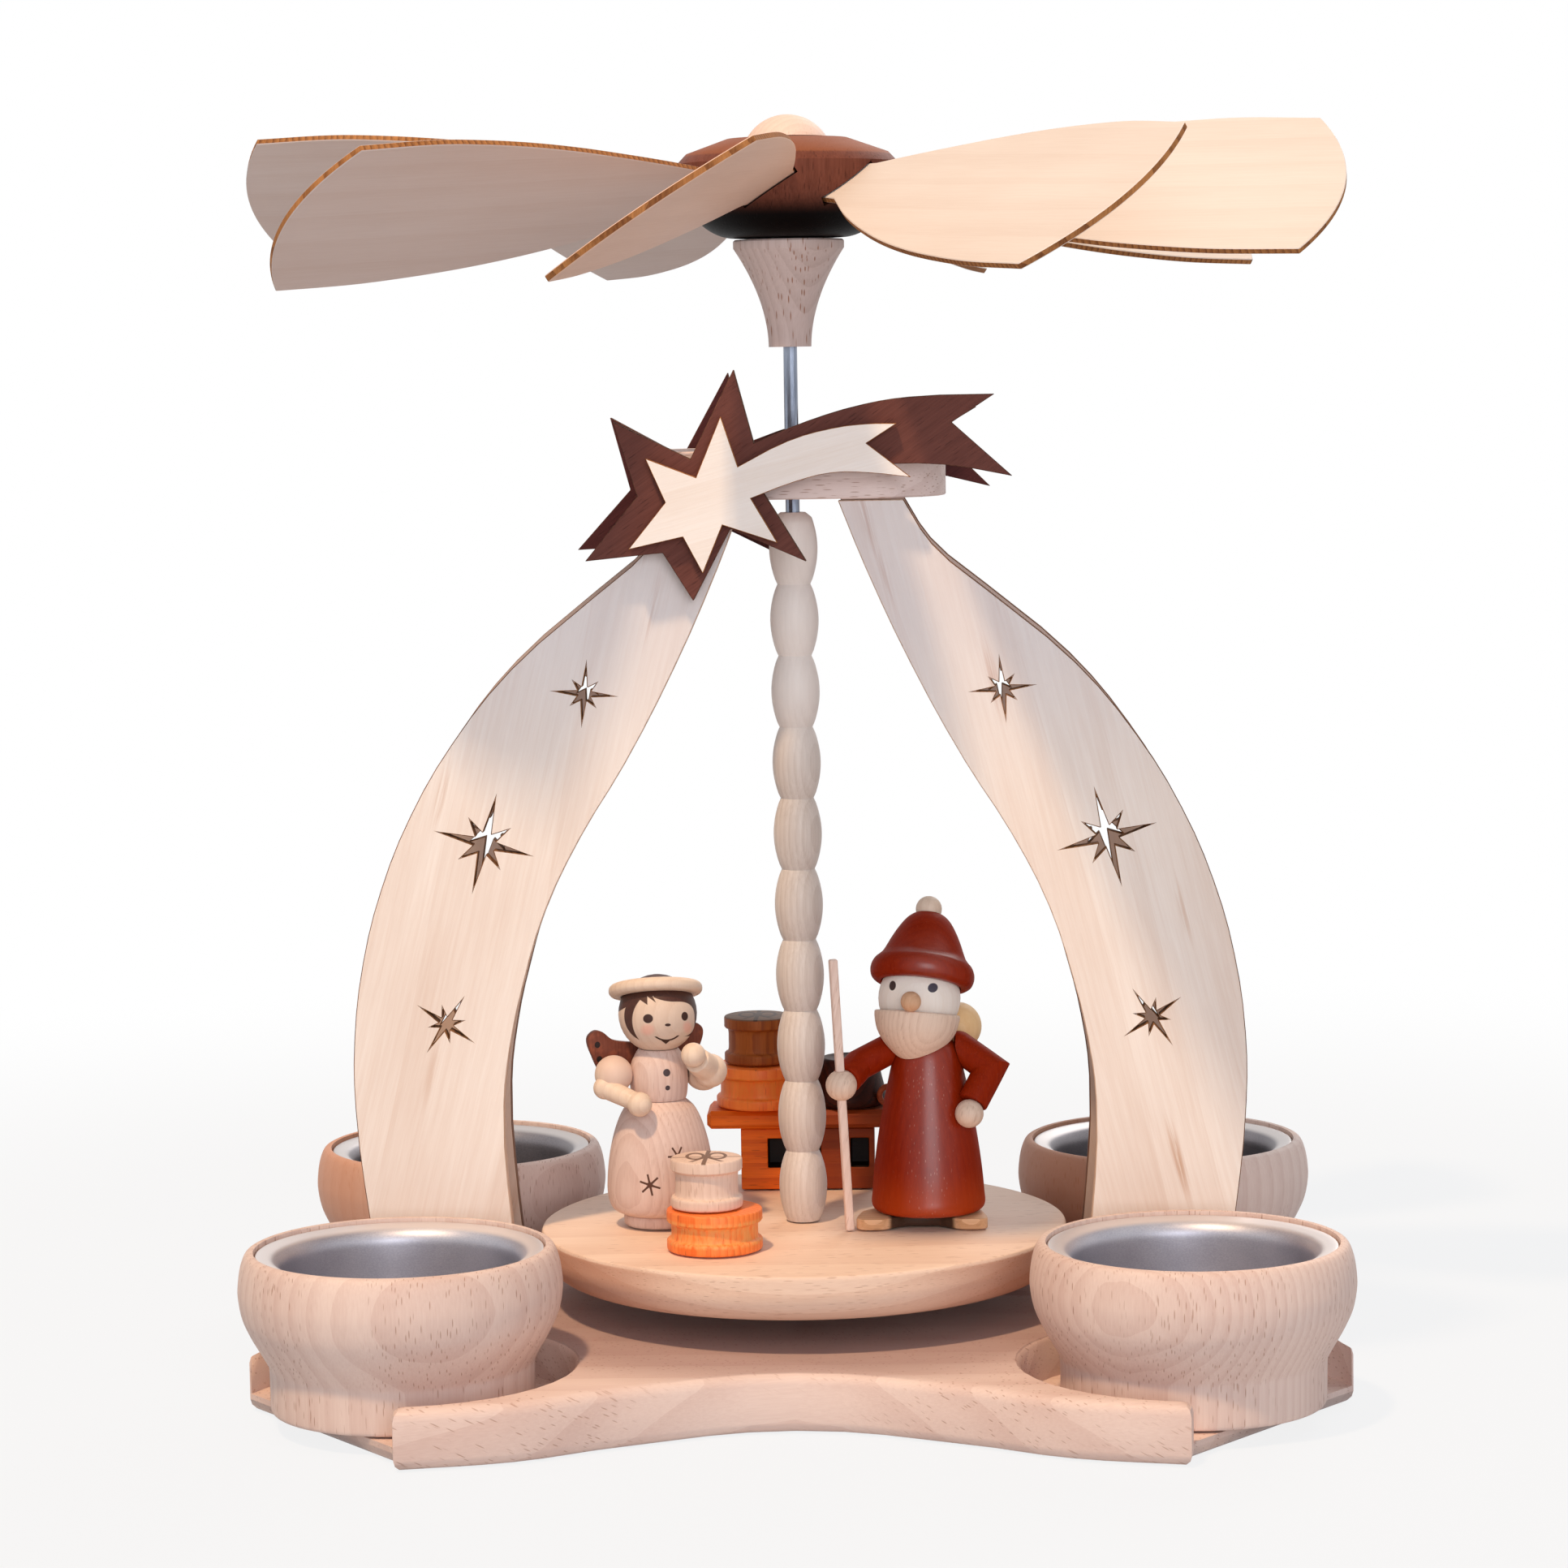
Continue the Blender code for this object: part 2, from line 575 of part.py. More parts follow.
def crossbar():
    """A bar with round ends, bored for the shaft."""
    end = CROSSBAR_DEPTH / 2.0
    straight = CROSSBAR_LENGTH / 2.0 - end
    outline = []
    for index in range(9):
        angle = math.radians(-90.0 + index * 22.5)
        outline.append((straight + end * math.cos(angle), end * math.sin(angle), "C"))
    outline += [(-x, -y, kind) for x, y, kind in outline]
    bore = []
    for index in range(12):
        angle = math.radians(index * 30.0)
        bore.append((SHAFT_BORE * math.cos(angle), SHAFT_BORE * math.sin(angle), "C"))
    bar = outline_curve("crossbar", [outline, bore], CROSSBAR_HEIGHT, BEECH)
    place(bar, 0.0, 0.0, CROSSBAR_BOTTOM + CROSSBAR_HEIGHT / 2.0)


def comets():
    dark_y = CROSSBAR_DEPTH / 2.0 + GAP + COMET_DARK_THICKNESS / 2.0
    light_y = dark_y + (COMET_DARK_THICKNESS + COMET_LIGHT_THICKNESS) / 2.0 + GAP
    drawn_from = CROSSBAR_BOTTOM + COMET_RISE
    back = (BACK_COMET_SHIFT, -BACK_COMET_DROP, BACK_COMET_TURN)
    for side, name, (shift, rise, turn) in ((-1.0, "front", (0.0, 0.0, 0.0)), (1.0, "back", back)):
        dark = outline_curve("comet_%s_dark" % name, [COMET_DARK], COMET_DARK_THICKNESS, WALNUT)
        stand_up(dark, shift, side * dark_y, drawn_from + rise, turn)
        light = outline_curve("comet_%s_light" % name, [COMET_LIGHT], COMET_LIGHT_THICKNESS, MAPLE)
        stand_up(light, shift, side * light_y, drawn_from + rise, turn)


def shaft_and_bearing():
    turned("pivot_bearing", [
        (0.0, BOARD_TOP - BEARING_CONE), (BEARING_CONE, BOARD_TOP),
        (BEARING_RADIUS, BOARD_TOP), (BEARING_RADIUS, BOARD_TOP - BEARING_HEIGHT),
        (0.0, BOARD_TOP - BEARING_HEIGHT)], STEEL, 16)
    turned("shaft", [
        (0.0, SHAFT_TOP), (SHAFT_RADIUS, SHAFT_TOP - SHAFT_RADIUS),
        (SHAFT_RADIUS, SHAFT_TIP + SHAFT_RADIUS), (0.0, SHAFT_TIP)], STEEL, 12)


def turntable():
    drop = TABLE_THICKNESS - TABLE_RIM
    undercut = TABLE_RADIUS - TABLE_BOTTOM_RADIUS
    points = [(SHAFT_BORE, TABLE_TOP), (TABLE_RADIUS - 0.2, TABLE_TOP),
              (TABLE_RADIUS, TABLE_TOP - 0.3), (TABLE_RADIUS, TABLE_TOP - TABLE_RIM)]
    for step in range(1, 4):
        angle = math.radians(step * 30.0)
        points.append((TABLE_RADIUS - undercut * (1.0 - math.cos(angle)),
                       TABLE_TOP - TABLE_RIM - drop * math.sin(angle)))
    points.append((SHAFT_BORE, TABLE_BOTTOM))
    turned("turntable", points, BEECH, 48, True)


def column():
    bottom = STANDING
    top = COLUMN_TOP
    points = [(SHAFT_BORE, top)]
    for bead in range(BEAD_COUNT):
        for step in range(6):
            share = step / 6.0
            swell = math.sin(share * math.pi) ** 0.85
            radius = BEAD_NECK_RADIUS + (BEAD_RADIUS - BEAD_NECK_RADIUS) * swell
            if bead == 0 and step == 0:
                radius = BEAD_NECK_RADIUS - 0.7
            points.append((radius, top - (bead + share) * BEAD_LENGTH))
    points += [(BEAD_NECK_RADIUS + 0.2, bottom), (SHAFT_BORE, bottom)]
    turned("column", points, PALE_BEECH, 16, True)


def fan_socket():
    points = [(0.0, SOCKET_TOP), (SOCKET_TOP_RADIUS, SOCKET_TOP),
              (SOCKET_TOP_RADIUS, SOCKET_TOP - SOCKET_BAND)]
    flare = SOCKET_TOP_RADIUS - SOCKET_BOTTOM_RADIUS
    height = SOCKET_HEIGHT - SOCKET_BAND
    for step in range(1, 7):
        share = step / 6.0
        points.append((SOCKET_BOTTOM_RADIUS + flare * (1.0 - share) ** 1.9,
                       SOCKET_TOP - SOCKET_BAND - height * share))
    bore_top = SOCKET_BOTTOM + SOCKET_BORE_DEPTH
    points += [(SHAFT_BORE, SOCKET_BOTTOM), (SHAFT_BORE, bore_top), (0.0, bore_top)]
    turned("fan_socket", points, BEECH, 20)


def blade_outline():
    upper = [(r, s, "C" if index in (0, 1, len(BLADE_UPPER_EDGE) - 1) else "S")
             for index, (r, s) in enumerate(BLADE_UPPER_EDGE)]
    lower = [(r, -s, "C" if index in (0, 1, len(BLADE_LOWER_EDGE) - 1) else "S")
             for index, (r, s) in enumerate(BLADE_LOWER_EDGE)]
    corner, top, _ = upper[-1]
    bottom = lower[-1][1]
    tip = []
    for step in range(1, 6):
        share = step / 6.0
        bow = 1.0 - (2.0 * share - 1.0) ** 2
        tip.append((corner + (BLADE_TIP - corner) * bow, top + (bottom - top) * share, "C"))
    return upper + tip + lower[::-1]


def fan():
    fan_socket()
    drop = HUB_WIDEST
    points = [(0.0, HUB_TOP), (HUB_TOP_RADIUS, HUB_TOP),
              (HUB_SHOULDER_RADIUS, HUB_BOTTOM + HUB_SHOULDER), (HUB_RADIUS, HUB_BOTTOM + drop)]
    for step in range(1, 6):
        angle = math.radians(step * 18.0)
        points.append((HUB_FOOT_RADIUS + (HUB_RADIUS - HUB_FOOT_RADIUS) * math.cos(angle),
                       HUB_BOTTOM + drop * (1.0 - math.sin(angle))))
    points.append((0.0, HUB_BOTTOM))
    hub = turned("fan_hub", points, WALNUT, 24)
    knob_bottom = HUB_TOP + GAP
    ball_radius = (KNOB_RADIUS ** 2 + KNOB_HEIGHT ** 2) / (2.0 * KNOB_HEIGHT)
    dome = []
    widest = math.asin(min(1.0, KNOB_RADIUS / ball_radius))
    for step in range(6):
        angle = widest * step / 5.0
        dome.append((ball_radius * math.sin(angle),
                     knob_bottom + KNOB_HEIGHT - ball_radius * (1.0 - math.cos(angle))))
    turned("fan_knob", dome + [(0.0, knob_bottom)], PALE_BEECH, 20)
    axis = HUB_BOTTOM + BLADE_AXIS_HEIGHT
    slot_length = 2.0 * (HUB_RADIUS - BLADE_ROOT)
    root_top = BLADE_UPPER_EDGE[1][1]
    root_low = BLADE_LOWER_EDGE[1][1]
    shape = outline_curve("blade_shape", [blade_outline()], BLADE_THICKNESS, PLYWOOD, 3)
    blade_mesh = curve_to_mesh(shape)
    blade_data = blade_mesh.data
    bpy.data.objects.remove(blade_mesh)
    for index, (swing, extra_pitch, droop) in enumerate(BLADE_SETTINGS):
        azimuth = FIRST_BLADE_AZIMUTH + index * 360.0 / len(BLADE_SETTINGS) + swing
        turn = (Matrix.Translation((0.0, 0.0, axis * MM))
                @ Matrix.Rotation(math.radians(azimuth), 4, "Z")
                @ Matrix.Rotation(math.radians(droop), 4, "Y")
                @ Matrix.Rotation(math.radians(BLADE_PITCH + extra_pitch), 4, "X"))
        blade = bpy.data.objects.new("fan_blade_%d" % (index + 1), blade_data)
        collection("christmas_pyramid").objects.link(blade)
        blade.matrix_world = turn
        slot = block("slot_%d" % (index + 1),
                     (slot_length, root_top + root_low + 2.0 * GAP, BLADE_THICKNESS + 2.0 * GAP),
                     (0.0, 0.0, 0.0), WALNUT)
        slot.matrix_world = turn @ Matrix.Translation(
            ((BLADE_ROOT - GAP + slot_length / 2.0) * MM, (root_top - root_low) / 2.0 * MM, 0.0))
        boolean(hub, slot, "DIFFERENCE")


def arm_with_hand(name, sleeve, points, radii):
    """One solid of a round sleeve, a rounded elbow, a forearm and a ball hand."""
    elbow, wrist, hand = points
    elbow_radius, wrist_radius = radii
    arm = place(ball(name, SLEEVE_BALL_RADIUS, MAPLE, 8, 14), *sleeve)
    boolean(arm, place(ball(name + "_elbow", elbow_radius, MAPLE, 7, 12), *elbow), "UNION")
    boolean(arm, rod(name + "_forearm", elbow, wrist, wrist_radius, MAPLE, 10), "UNION")
    boolean(arm, place(ball(name + "_hand", ANGEL_HAND_RADIUS, MAPLE, 8, 12), *hand), "UNION")
    return arm


def angel_skirt(waist, foot):
    points = [(0.0, waist), (ANGEL_WAIST_RADIUS, waist)]
    hem = foot + ANGEL_FOOT_HEIGHT
    widest = hem + 4.2
    for step in range(1, 8):
        share = (step / 7.0) ** 1.5
        swell = math.sin(share * math.pi / 2.0) ** 0.5
        points.append((ANGEL_WAIST_RADIUS + (ANGEL_SKIRT_RADIUS - ANGEL_WAIST_RADIUS) * swell,
                       waist - (waist - widest) * share))
    points += [(ANGEL_SKIRT_RADIUS - 0.3, hem + 2.2), (ANGEL_SKIRT_RADIUS - 1.0, hem + 0.8),
               (ANGEL_SKIRT_RADIUS - 2.4, hem), (ANGEL_FOOT_RADIUS - 0.3, hem),
               (ANGEL_FOOT_RADIUS, hem - 0.4), (ANGEL_FOOT_RADIUS, foot), (0.0, foot)]
    return points


def angel():
    x = ANGEL_X
    y = ANGEL_Y
    foot = STANDING
    waist = foot + ANGEL_WAIST_HEIGHT
    place(turned("angel_skirt", angel_skirt(waist, foot), BEECH, 24), x, y, 0.0)

    bust_bottom = waist + GAP
    neck = bust_bottom + ANGEL_BUST_HEIGHT
    seat_radius = ANGEL_HEAD_RADIUS + GAP
    head_centre = neck + seat_radius
    points = []
    for step in range(4):
        angle = math.radians(step * 9.5)
        points.append((seat_radius * math.sin(angle), head_centre - seat_radius * math.cos(angle)))
    rim_radius, rim_height = points[-1]
    points += [(rim_radius + 0.4, rim_height - 0.4), (ANGEL_BUST_RADIUS - 0.3, neck - 1.3),
               (ANGEL_BUST_RADIUS, bust_bottom + ANGEL_BUST_HEIGHT * 0.5),
               (ANGEL_BUST_RADIUS - 0.2, bust_bottom + ANGEL_BUST_HEIGHT * 0.2),
               (ANGEL_WAIST_RADIUS, bust_bottom), (0.0, bust_bottom)]
    place(turned("angel_bust", points, BEECH, 20), x, y, 0.0)
    place(ball("angel_head", ANGEL_HEAD_RADIUS, MAPLE, 12, 20), x, y, head_centre)

    half = ANGEL_RING_THICKNESS / 2.0
    middle = 0.65 * ANGEL_HEAD_RADIUS
    outer = ANGEL_RING_RADIUS
    ring = []
    for height in (middle + half, middle, middle - half):
        ring.append((math.sqrt(seat_radius ** 2 - height ** 2) + 0.1, height))
    ring = ring[::-1] + [(outer - 0.9, middle + half), (outer - 0.2, middle + half * 0.6), (outer, middle),
                         (outer - 0.2, middle - half * 0.6), (outer - 0.9, middle - half)]
    hat_ring = turned("angel_hat_ring", ring, MAPLE, 22, True)
    hat_ring.rotation_euler = (math.radians(-ANGEL_RING_TILT), 0.0, 0.0)
    place(hat_ring, x, y, head_centre)

    outline = [(across, height, "C" if index in (0, len(WING_OUTLINE) - 1) else "S")
               for index, (across, height) in enumerate(WING_OUTLINE)]
    outline += [(-across, height, kind) for across, height, kind in outline[-2:0:-1]]
    wings = outline_curve("angel_wings", [outline], WING_THICKNESS, RED_BROWN, 3)
    behind = ANGEL_BUST_RADIUS + GAP + WING_THICKNESS / 2.0
    turn = math.radians(WING_TURN)
    wings.rotation_euler = (math.radians(90.0), 0.0, turn)
    place(wings, x - behind * math.sin(turn), y + behind * math.cos(turn), bust_bottom)
    skull = place(ball("wing_head_gap", seat_radius, MAPLE, 12, 20), x, y, head_centre)
    wings = curve_to_mesh(wings)
    boolean(wings, skull, "DIFFERENCE")

    turn = math.radians(ANGEL_TURN)
    out = (ANGEL_BUST_RADIUS + SLEEVE_BALL_RADIUS - 0.3)
    shoulder = bust_bottom + ANGEL_BUST_HEIGHT * 0.58
    across = out * math.cos(turn)
    ahead = out * math.sin(turn)
    middle = Vector((x, y, shoulder))
    left = arm_with_hand("angel_arm_left", (x - across, y - ahead, shoulder + 0.2),
                         [middle + Vector(point) for point in ANGEL_LEFT_ARM], ANGEL_LEFT_ARM_RADII)
    right = arm_with_hand("angel_arm_right", (x + across, y + ahead, shoulder - 0.4),
                          [middle + Vector(point) for point in ANGEL_RIGHT_ARM], ANGEL_RIGHT_ARM_RADII)
    for arm in (left, right):
        clear_of(arm, "%s_body_gap" % arm.name, bust_space(waist, neck), x, y)
        boolean(arm, place(ball("%s_head_gap" % arm.name, seat_radius, MAPLE, 12, 20), x, y, head_centre),
                "DIFFERENCE")


def bust_space(waist, neck):
    """The space that the bust and the skirt's top take, with their gap."""
    wide = ANGEL_BUST_RADIUS + GAP
    slope = (ANGEL_SKIRT_RADIUS - ANGEL_WAIST_RADIUS) * 0.75
    return [(0.0, neck + 2.0), (wide * 0.8, neck + 2.0), (wide, neck - 2.0),
            (wide, waist + 1.0), (ANGEL_WAIST_RADIUS + 2.0 * GAP, waist + GAP),
            (ANGEL_WAIST_RADIUS + 0.55 * slope, waist - 1.0),
            (ANGEL_WAIST_RADIUS + slope, waist - 3.0),
            (ANGEL_SKIRT_RADIUS + GAP, waist - 9.0), (0.0, waist - 9.0)]


def clear_of(part, name, profile, x, y):
    cutter = place(turned(name, profile, MAPLE, 20), x, y, 0.0)
    boolean(part, cutter, "DIFFERENCE")


def coat_radius(share):
    """Coat radius from the hem, share 0, to the neck, share 1."""
    return COAT_RADIUS - (COAT_RADIUS - COAT_NECK_RADIUS) * share ** 1.6


def coat_space(hem, collar):
    """The space that the coat takes, with its gap."""
    points = [(0.0, collar + 1.0), (COAT_NECK_RADIUS + GAP, collar + 1.0)]
    for step in range(6):
        share = 0.97 - 0.19 * step
        points.append((coat_radius(share) + GAP, hem + COAT_HEIGHT * share))
    points.append((0.0, hem))
    return points


def santa_shoes(centre):
    toes = []
    for side in (-1.0, 1.0):
        toe = [(SHOE_GAP_HALF - 3.0, -SHOE_REACH + 3.4), (SHOE_GAP_HALF, -SHOE_REACH + 0.8),
               (SHOE_GAP_HALF + 1.2, -SHOE_REACH), (SHOE_HALF_WIDTH - 1.2, -SHOE_REACH),
               (SHOE_HALF_WIDTH, -SHOE_REACH + 1.2), (SHOE_HALF_WIDTH - 1.0, 0.0)]
        if side < 0.0:
            toe.reverse()
        toes += [(side * x, y, "C") for x, y in toe]
    heel = [(6.0, 6.0, "C"), (-6.0, 6.0, "C")]
    shoes = outline_curve("santa_shoes", [toes + heel], SHOE_THICKNESS, RUST)
    place(shoes, centre, SANTA_Y, STANDING + SHOE_THICKNESS / 2.0)


def beard_bowl(name, gap, x, y, centre):
    """The beard's solid bowl, or the space for it where gap is more than 0."""
    radius = BEARD_RADIUS + gap
    depth = BEARD_DEPTH + gap
    profile = [(0.0, gap), (radius, gap), (radius * 0.98, -depth * 0.18), (radius * 0.91, -depth * 0.38),
               (radius * 0.74, -depth * 0.61), (radius * 0.42, -depth * 0.86), (radius * 0.12, -depth),
               (0.0, -depth)]
    bowl = turned(name, profile, BEECH, 24)
    bowl.rotation_euler = (math.radians(-BEARD_TILT), math.radians(BEARD_SIDE_TILT), 0.0)
    return place(bowl, x - 0.4, y - BEARD_FORWARD, centre - BEARD_BELOW_EYES)


def santa_head_pieces(x, y, hem, collar):
    """The head with its nose, beard, hat and pompom."""
    centre = collar + GAP + SANTA_HEAD_RADIUS
    head_gap = SANTA_HEAD_RADIUS + GAP
    place(ball("santa_head", SANTA_HEAD_RADIUS, MAPLE, 12, 20), x, y, centre)
    nose_x = -1.5
    nose_z = 0.8
    nose_y = math.sqrt((head_gap + NOSE_RADIUS) ** 2 - nose_x ** 2 - nose_z ** 2)
    place(ball("santa_nose", NOSE_RADIUS, BEECH, 6, 10), x + nose_x, y - nose_y, centre + nose_z)

    beard = beard_bowl("santa_beard", 0.0, x, y, centre)
    boolean(beard, place(ball("beard_hollow", head_gap, BEECH, 12, 24), x, y, centre), "DIFFERENCE")
    clear_of(beard, "beard_chest", coat_space(hem, collar), SANTA_X, SANTA_Y)
    reach = 3.0 * SANTA_HEAD_RADIUS
    behind = block("beard_back", (2.0 * reach, reach, 2.0 * reach), (x, y + BEARD_BACK + reach / 2.0, centre),
                   BEECH)
    boolean(beard, behind, "DIFFERENCE")

    tilt = (math.radians(-HAT_TILT_BACK), math.radians(HAT_TILT_SIDE), 0.0)
    hat = turned("santa_hat", [
        (0.0, HAT_TOP), (1.8, HAT_TOP - 0.2), (3.0, HAT_TOP - 0.7), (4.2, HAT_TOP - 1.7),
        (5.3, HAT_TOP - 3.2), (6.5, HAT_TOP - 5.4), (7.4, HAT_TOP - 7.6), (7.8, HAT_TOP - 8.4),
        (8.8, HAT_BRIM + 4.6), (HAT_RADIUS - 0.1, HAT_BRIM + 3.2), (HAT_RADIUS, HAT_BRIM + 1.9),
        (HAT_RADIUS - 0.4, HAT_BRIM + 0.7), (HAT_RADIUS - 1.2, HAT_BRIM), (0.0, HAT_BRIM)], RED_BROWN, 24)
    hat.rotation_euler = tilt
    place(hat, x, y, centre)
    boolean(hat, place(ball("hat_hollow", head_gap, RED_BROWN, 12, 24), x, y, centre), "DIFFERENCE")
    up = Vector((math.cos(tilt[0]) * math.sin(tilt[1]), -math.sin(tilt[0]),
                 math.cos(tilt[0]) * math.cos(tilt[1])))
    pom_place = Vector((x, y, centre)) + up * (HAT_TOP + 0.5)
    place(ball("santa_pom", POM_RADIUS, MAPLE, 8, 12), *pom_place)
    boolean(hat, place(ball("pom_seat", POM_RADIUS + GAP, MAPLE, 8, 14), *pom_place), "DIFFERENCE")


def santa():
    x = SANTA_X
    y = SANTA_Y
    santa_shoes(x + SANTA_HEAD_SHIFT)
    hem = STANDING + SHOE_THICKNESS + GAP
    collar = hem + COAT_HEIGHT
    shoulder = collar - 1.0
    points = [(0.0, collar), (COAT_NECK_RADIUS - 1.4, collar), (COAT_NECK_RADIUS, shoulder)]
    for step in range(6):
        share = 0.85 - 0.15 * step
        points.append((coat_radius(share), hem + COAT_HEIGHT * share))
    points += [(COAT_RADIUS, hem + 1.2), (COAT_RADIUS - 0.8, hem + 0.3), (COAT_RADIUS - 2.0, hem), (0.0, hem)]
    place(turned("santa_coat", points, RED_BROWN, 24), x, y, 0.0)
    santa_head_pieces(x + SANTA_HEAD_SHIFT, y, hem, collar)

    middle = Vector((x, y, shoulder))
    for name, points, hand_radius in (("santa_arm_right", SANTA_RIGHT_ARM, RIGHT_HAND_RADIUS),
                                      ("santa_arm_left", SANTA_LEFT_ARM, LEFT_HAND_RADIUS)):
        *route, hand = [middle + Vector(point) for point in points]
        sleeve = curve_to_mesh(bent_sleeve(name, route, SLEEVE_RADIUS, RED_BROWN))
        cap = ball(name + "_shoulder", SLEEVE_RADIUS, RED_BROWN, 8, 12)
        boolean(sleeve, place(cap, *route[0]), "UNION")
        palm = ball(name + "_hand", hand_radius, MAPLE, 8, 12)
        boolean(sleeve, place(palm, *hand), "UNION")
        clear_of(sleeve, name + "_coat_gap", coat_space(hem, collar), x, y)
        head_gap = ball(name + "_head_gap", SANTA_HEAD_RADIUS + GAP, MAPLE, 12, 20)
        place(head_gap, x + SANTA_HEAD_SHIFT, y, collar + GAP + SANTA_HEAD_RADIUS)
        boolean(sleeve, head_gap, "DIFFERENCE")
        boolean(sleeve, beard_bowl(name + "_beard_gap", GAP, x + SANTA_HEAD_SHIFT, y,
                                   collar + GAP + SANTA_HEAD_RADIUS), "DIFFERENCE")

    left_hand = middle + Vector(SANTA_LEFT_ARM[-1])
    foot = (left_hand.x + STAFF_LEAN, left_hand.y, STANDING)
    top = (left_hand.x - STAFF_LEAN, left_hand.y, STANDING + STAFF_LENGTH)
    rod("santa_staff", foot, top, STAFF_RADIUS, BEECH, 8)
    boolean(bpy.data.objects["santa_arm_left"],
            rod("staff_hole", foot, top, STAFF_RADIUS + GAP, BEECH, 8), "DIFFERENCE")

    reach = COAT_NECK_RADIUS + math.sqrt((SACK_RADIUS + GAP) ** 2 - SACK_RISE ** 2)
    angle = math.radians(SACK_AZIMUTH)
    place(ball("santa_sack", SACK_RADIUS, YELLOW, 9, 16),
          x + reach * math.cos(angle), y + reach * math.sin(angle), shoulder + SACK_RISE)


def present_profile(radius, height):
    """A turned box with a band at the top and the bottom."""
    band = PRESENT_BAND
    waist = radius - PRESENT_GROOVE
    return [(0.0, height), (radius - 0.4, height), (radius, height - 0.4),
            (radius, height - band), (waist, height - band - 0.4),
            (waist, band + 0.2), (radius, band - 0.4), (radius, 0.5),
            (radius - 0.5, 0.0), (0.0, 0.0)]


def presents_and_sledge():
    board_bottom = STANDING + STAND_HEIGHT + GAP
    board_top = board_bottom + SLEDGE_BOARD
    stand = block("sledge_stand", (STAND_LENGTH, STAND_DEPTH, STAND_HEIGHT),
                  (0.0, SLEDGE_Y, STANDING + STAND_HEIGHT / 2.0), RUST)
    front = SLEDGE_Y - STAND_DEPTH / 2.0
    sill = STANDING + STAND_HEIGHT * 0.35
    for index, (left, right) in enumerate(((-0.30, 0.10), (0.32, 0.46))):
        window = block("window_%d" % index,
                       ((right - left) * STAND_LENGTH, 2.0 * WINDOW_DEPTH, STAND_HEIGHT * 0.48),
                       ((left + right) / 2.0 * STAND_LENGTH, front, sill + STAND_HEIGHT * 0.24), RUST)
        boolean(stand, window, "DIFFERENCE")
    board = block("sledge_board", (SLEDGE_LENGTH, SLEDGE_DEPTH, SLEDGE_BOARD),
                  (0.0, SLEDGE_Y, board_bottom + SLEDGE_BOARD / 2.0), RUST)
    corners = board.modifiers.new("Corners", "BEVEL")
    corners.width = 0.8 * MM
    corners.segments = 1
    top = board_top + GAP
    stacks = (("front", FRONT_PRESENT_X, FRONT_PRESENT_Y, STANDING, FRONT_DRUM_HEIGHT, FRONT_BOX_SHIFT,
               BEECH),
              ("rear", REAR_PRESENT_X, REAR_PRESENT_Y, top, REAR_DRUM_HEIGHT, REAR_BOX_SHIFT, RUST))
    for name, x, y, z, drum_height, shift, tint in stacks:
        place(turned("gift_drum_" + name, present_profile(DRUM_RADIUS, drum_height), ORANGE, 24), x, y, z)
        place(turned("gift_box_" + name, present_profile(BOX_RADIUS, BOX_HEIGHT), tint, 22),
              x + shift, y, z + drum_height + GAP)
    basket_x = REAR_PRESENT_X + DRUM_RADIUS + BASKET_RADIUS + GAP + 0.8
    basket = turned("gift_basket", [
        (0.0, BASKET_HEIGHT), (BASKET_TOP_RADIUS, BASKET_HEIGHT),
        ((BASKET_RADIUS + BASKET_TOP_RADIUS) / 2.0, BASKET_HEIGHT * 0.55),
        (BASKET_RADIUS, 1.2), (BASKET_RADIUS - 0.8, 0.0), (0.0, 0.0)], RUST, 20)
    place(basket, basket_x, REAR_PRESENT_Y, top)
    ring = [(RING_RADIUS + RING_WIRE * math.cos(index * math.pi / 3.0),
             RING_WIRE * math.sin(index * math.pi / 3.0)) for index in range(0, -6, -1)]
    hoop = turned("sledge_ring", ring, RUST, 14, True)
    hoop.rotation_euler = (math.radians(90.0), 0.0, 0.0)
    place(hoop, SLEDGE_LENGTH / 2.0 - 3.4, SLEDGE_Y - SLEDGE_DEPTH / 2.0 + 1.6,
          top + RING_RADIUS + RING_WIRE)


def smooth_round_pieces():
    for part in collection("christmas_pyramid").objects:
        if part.type == "MESH" and any(m.type == "SCREW" for m in part.modifiers):
            part.data.shade_smooth()


def main():
    clear_scene()
    base_board()
    candle_cups()
    arches()
    crossbar()
    comets()
    shaft_and_bearing()
    turntable()
    column()
    fan()
    angel()
    santa()
    presents_and_sledge()
    smooth_round_pieces()


main()
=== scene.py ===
import json
import math

import bpy
from mathutils import Matrix, Vector

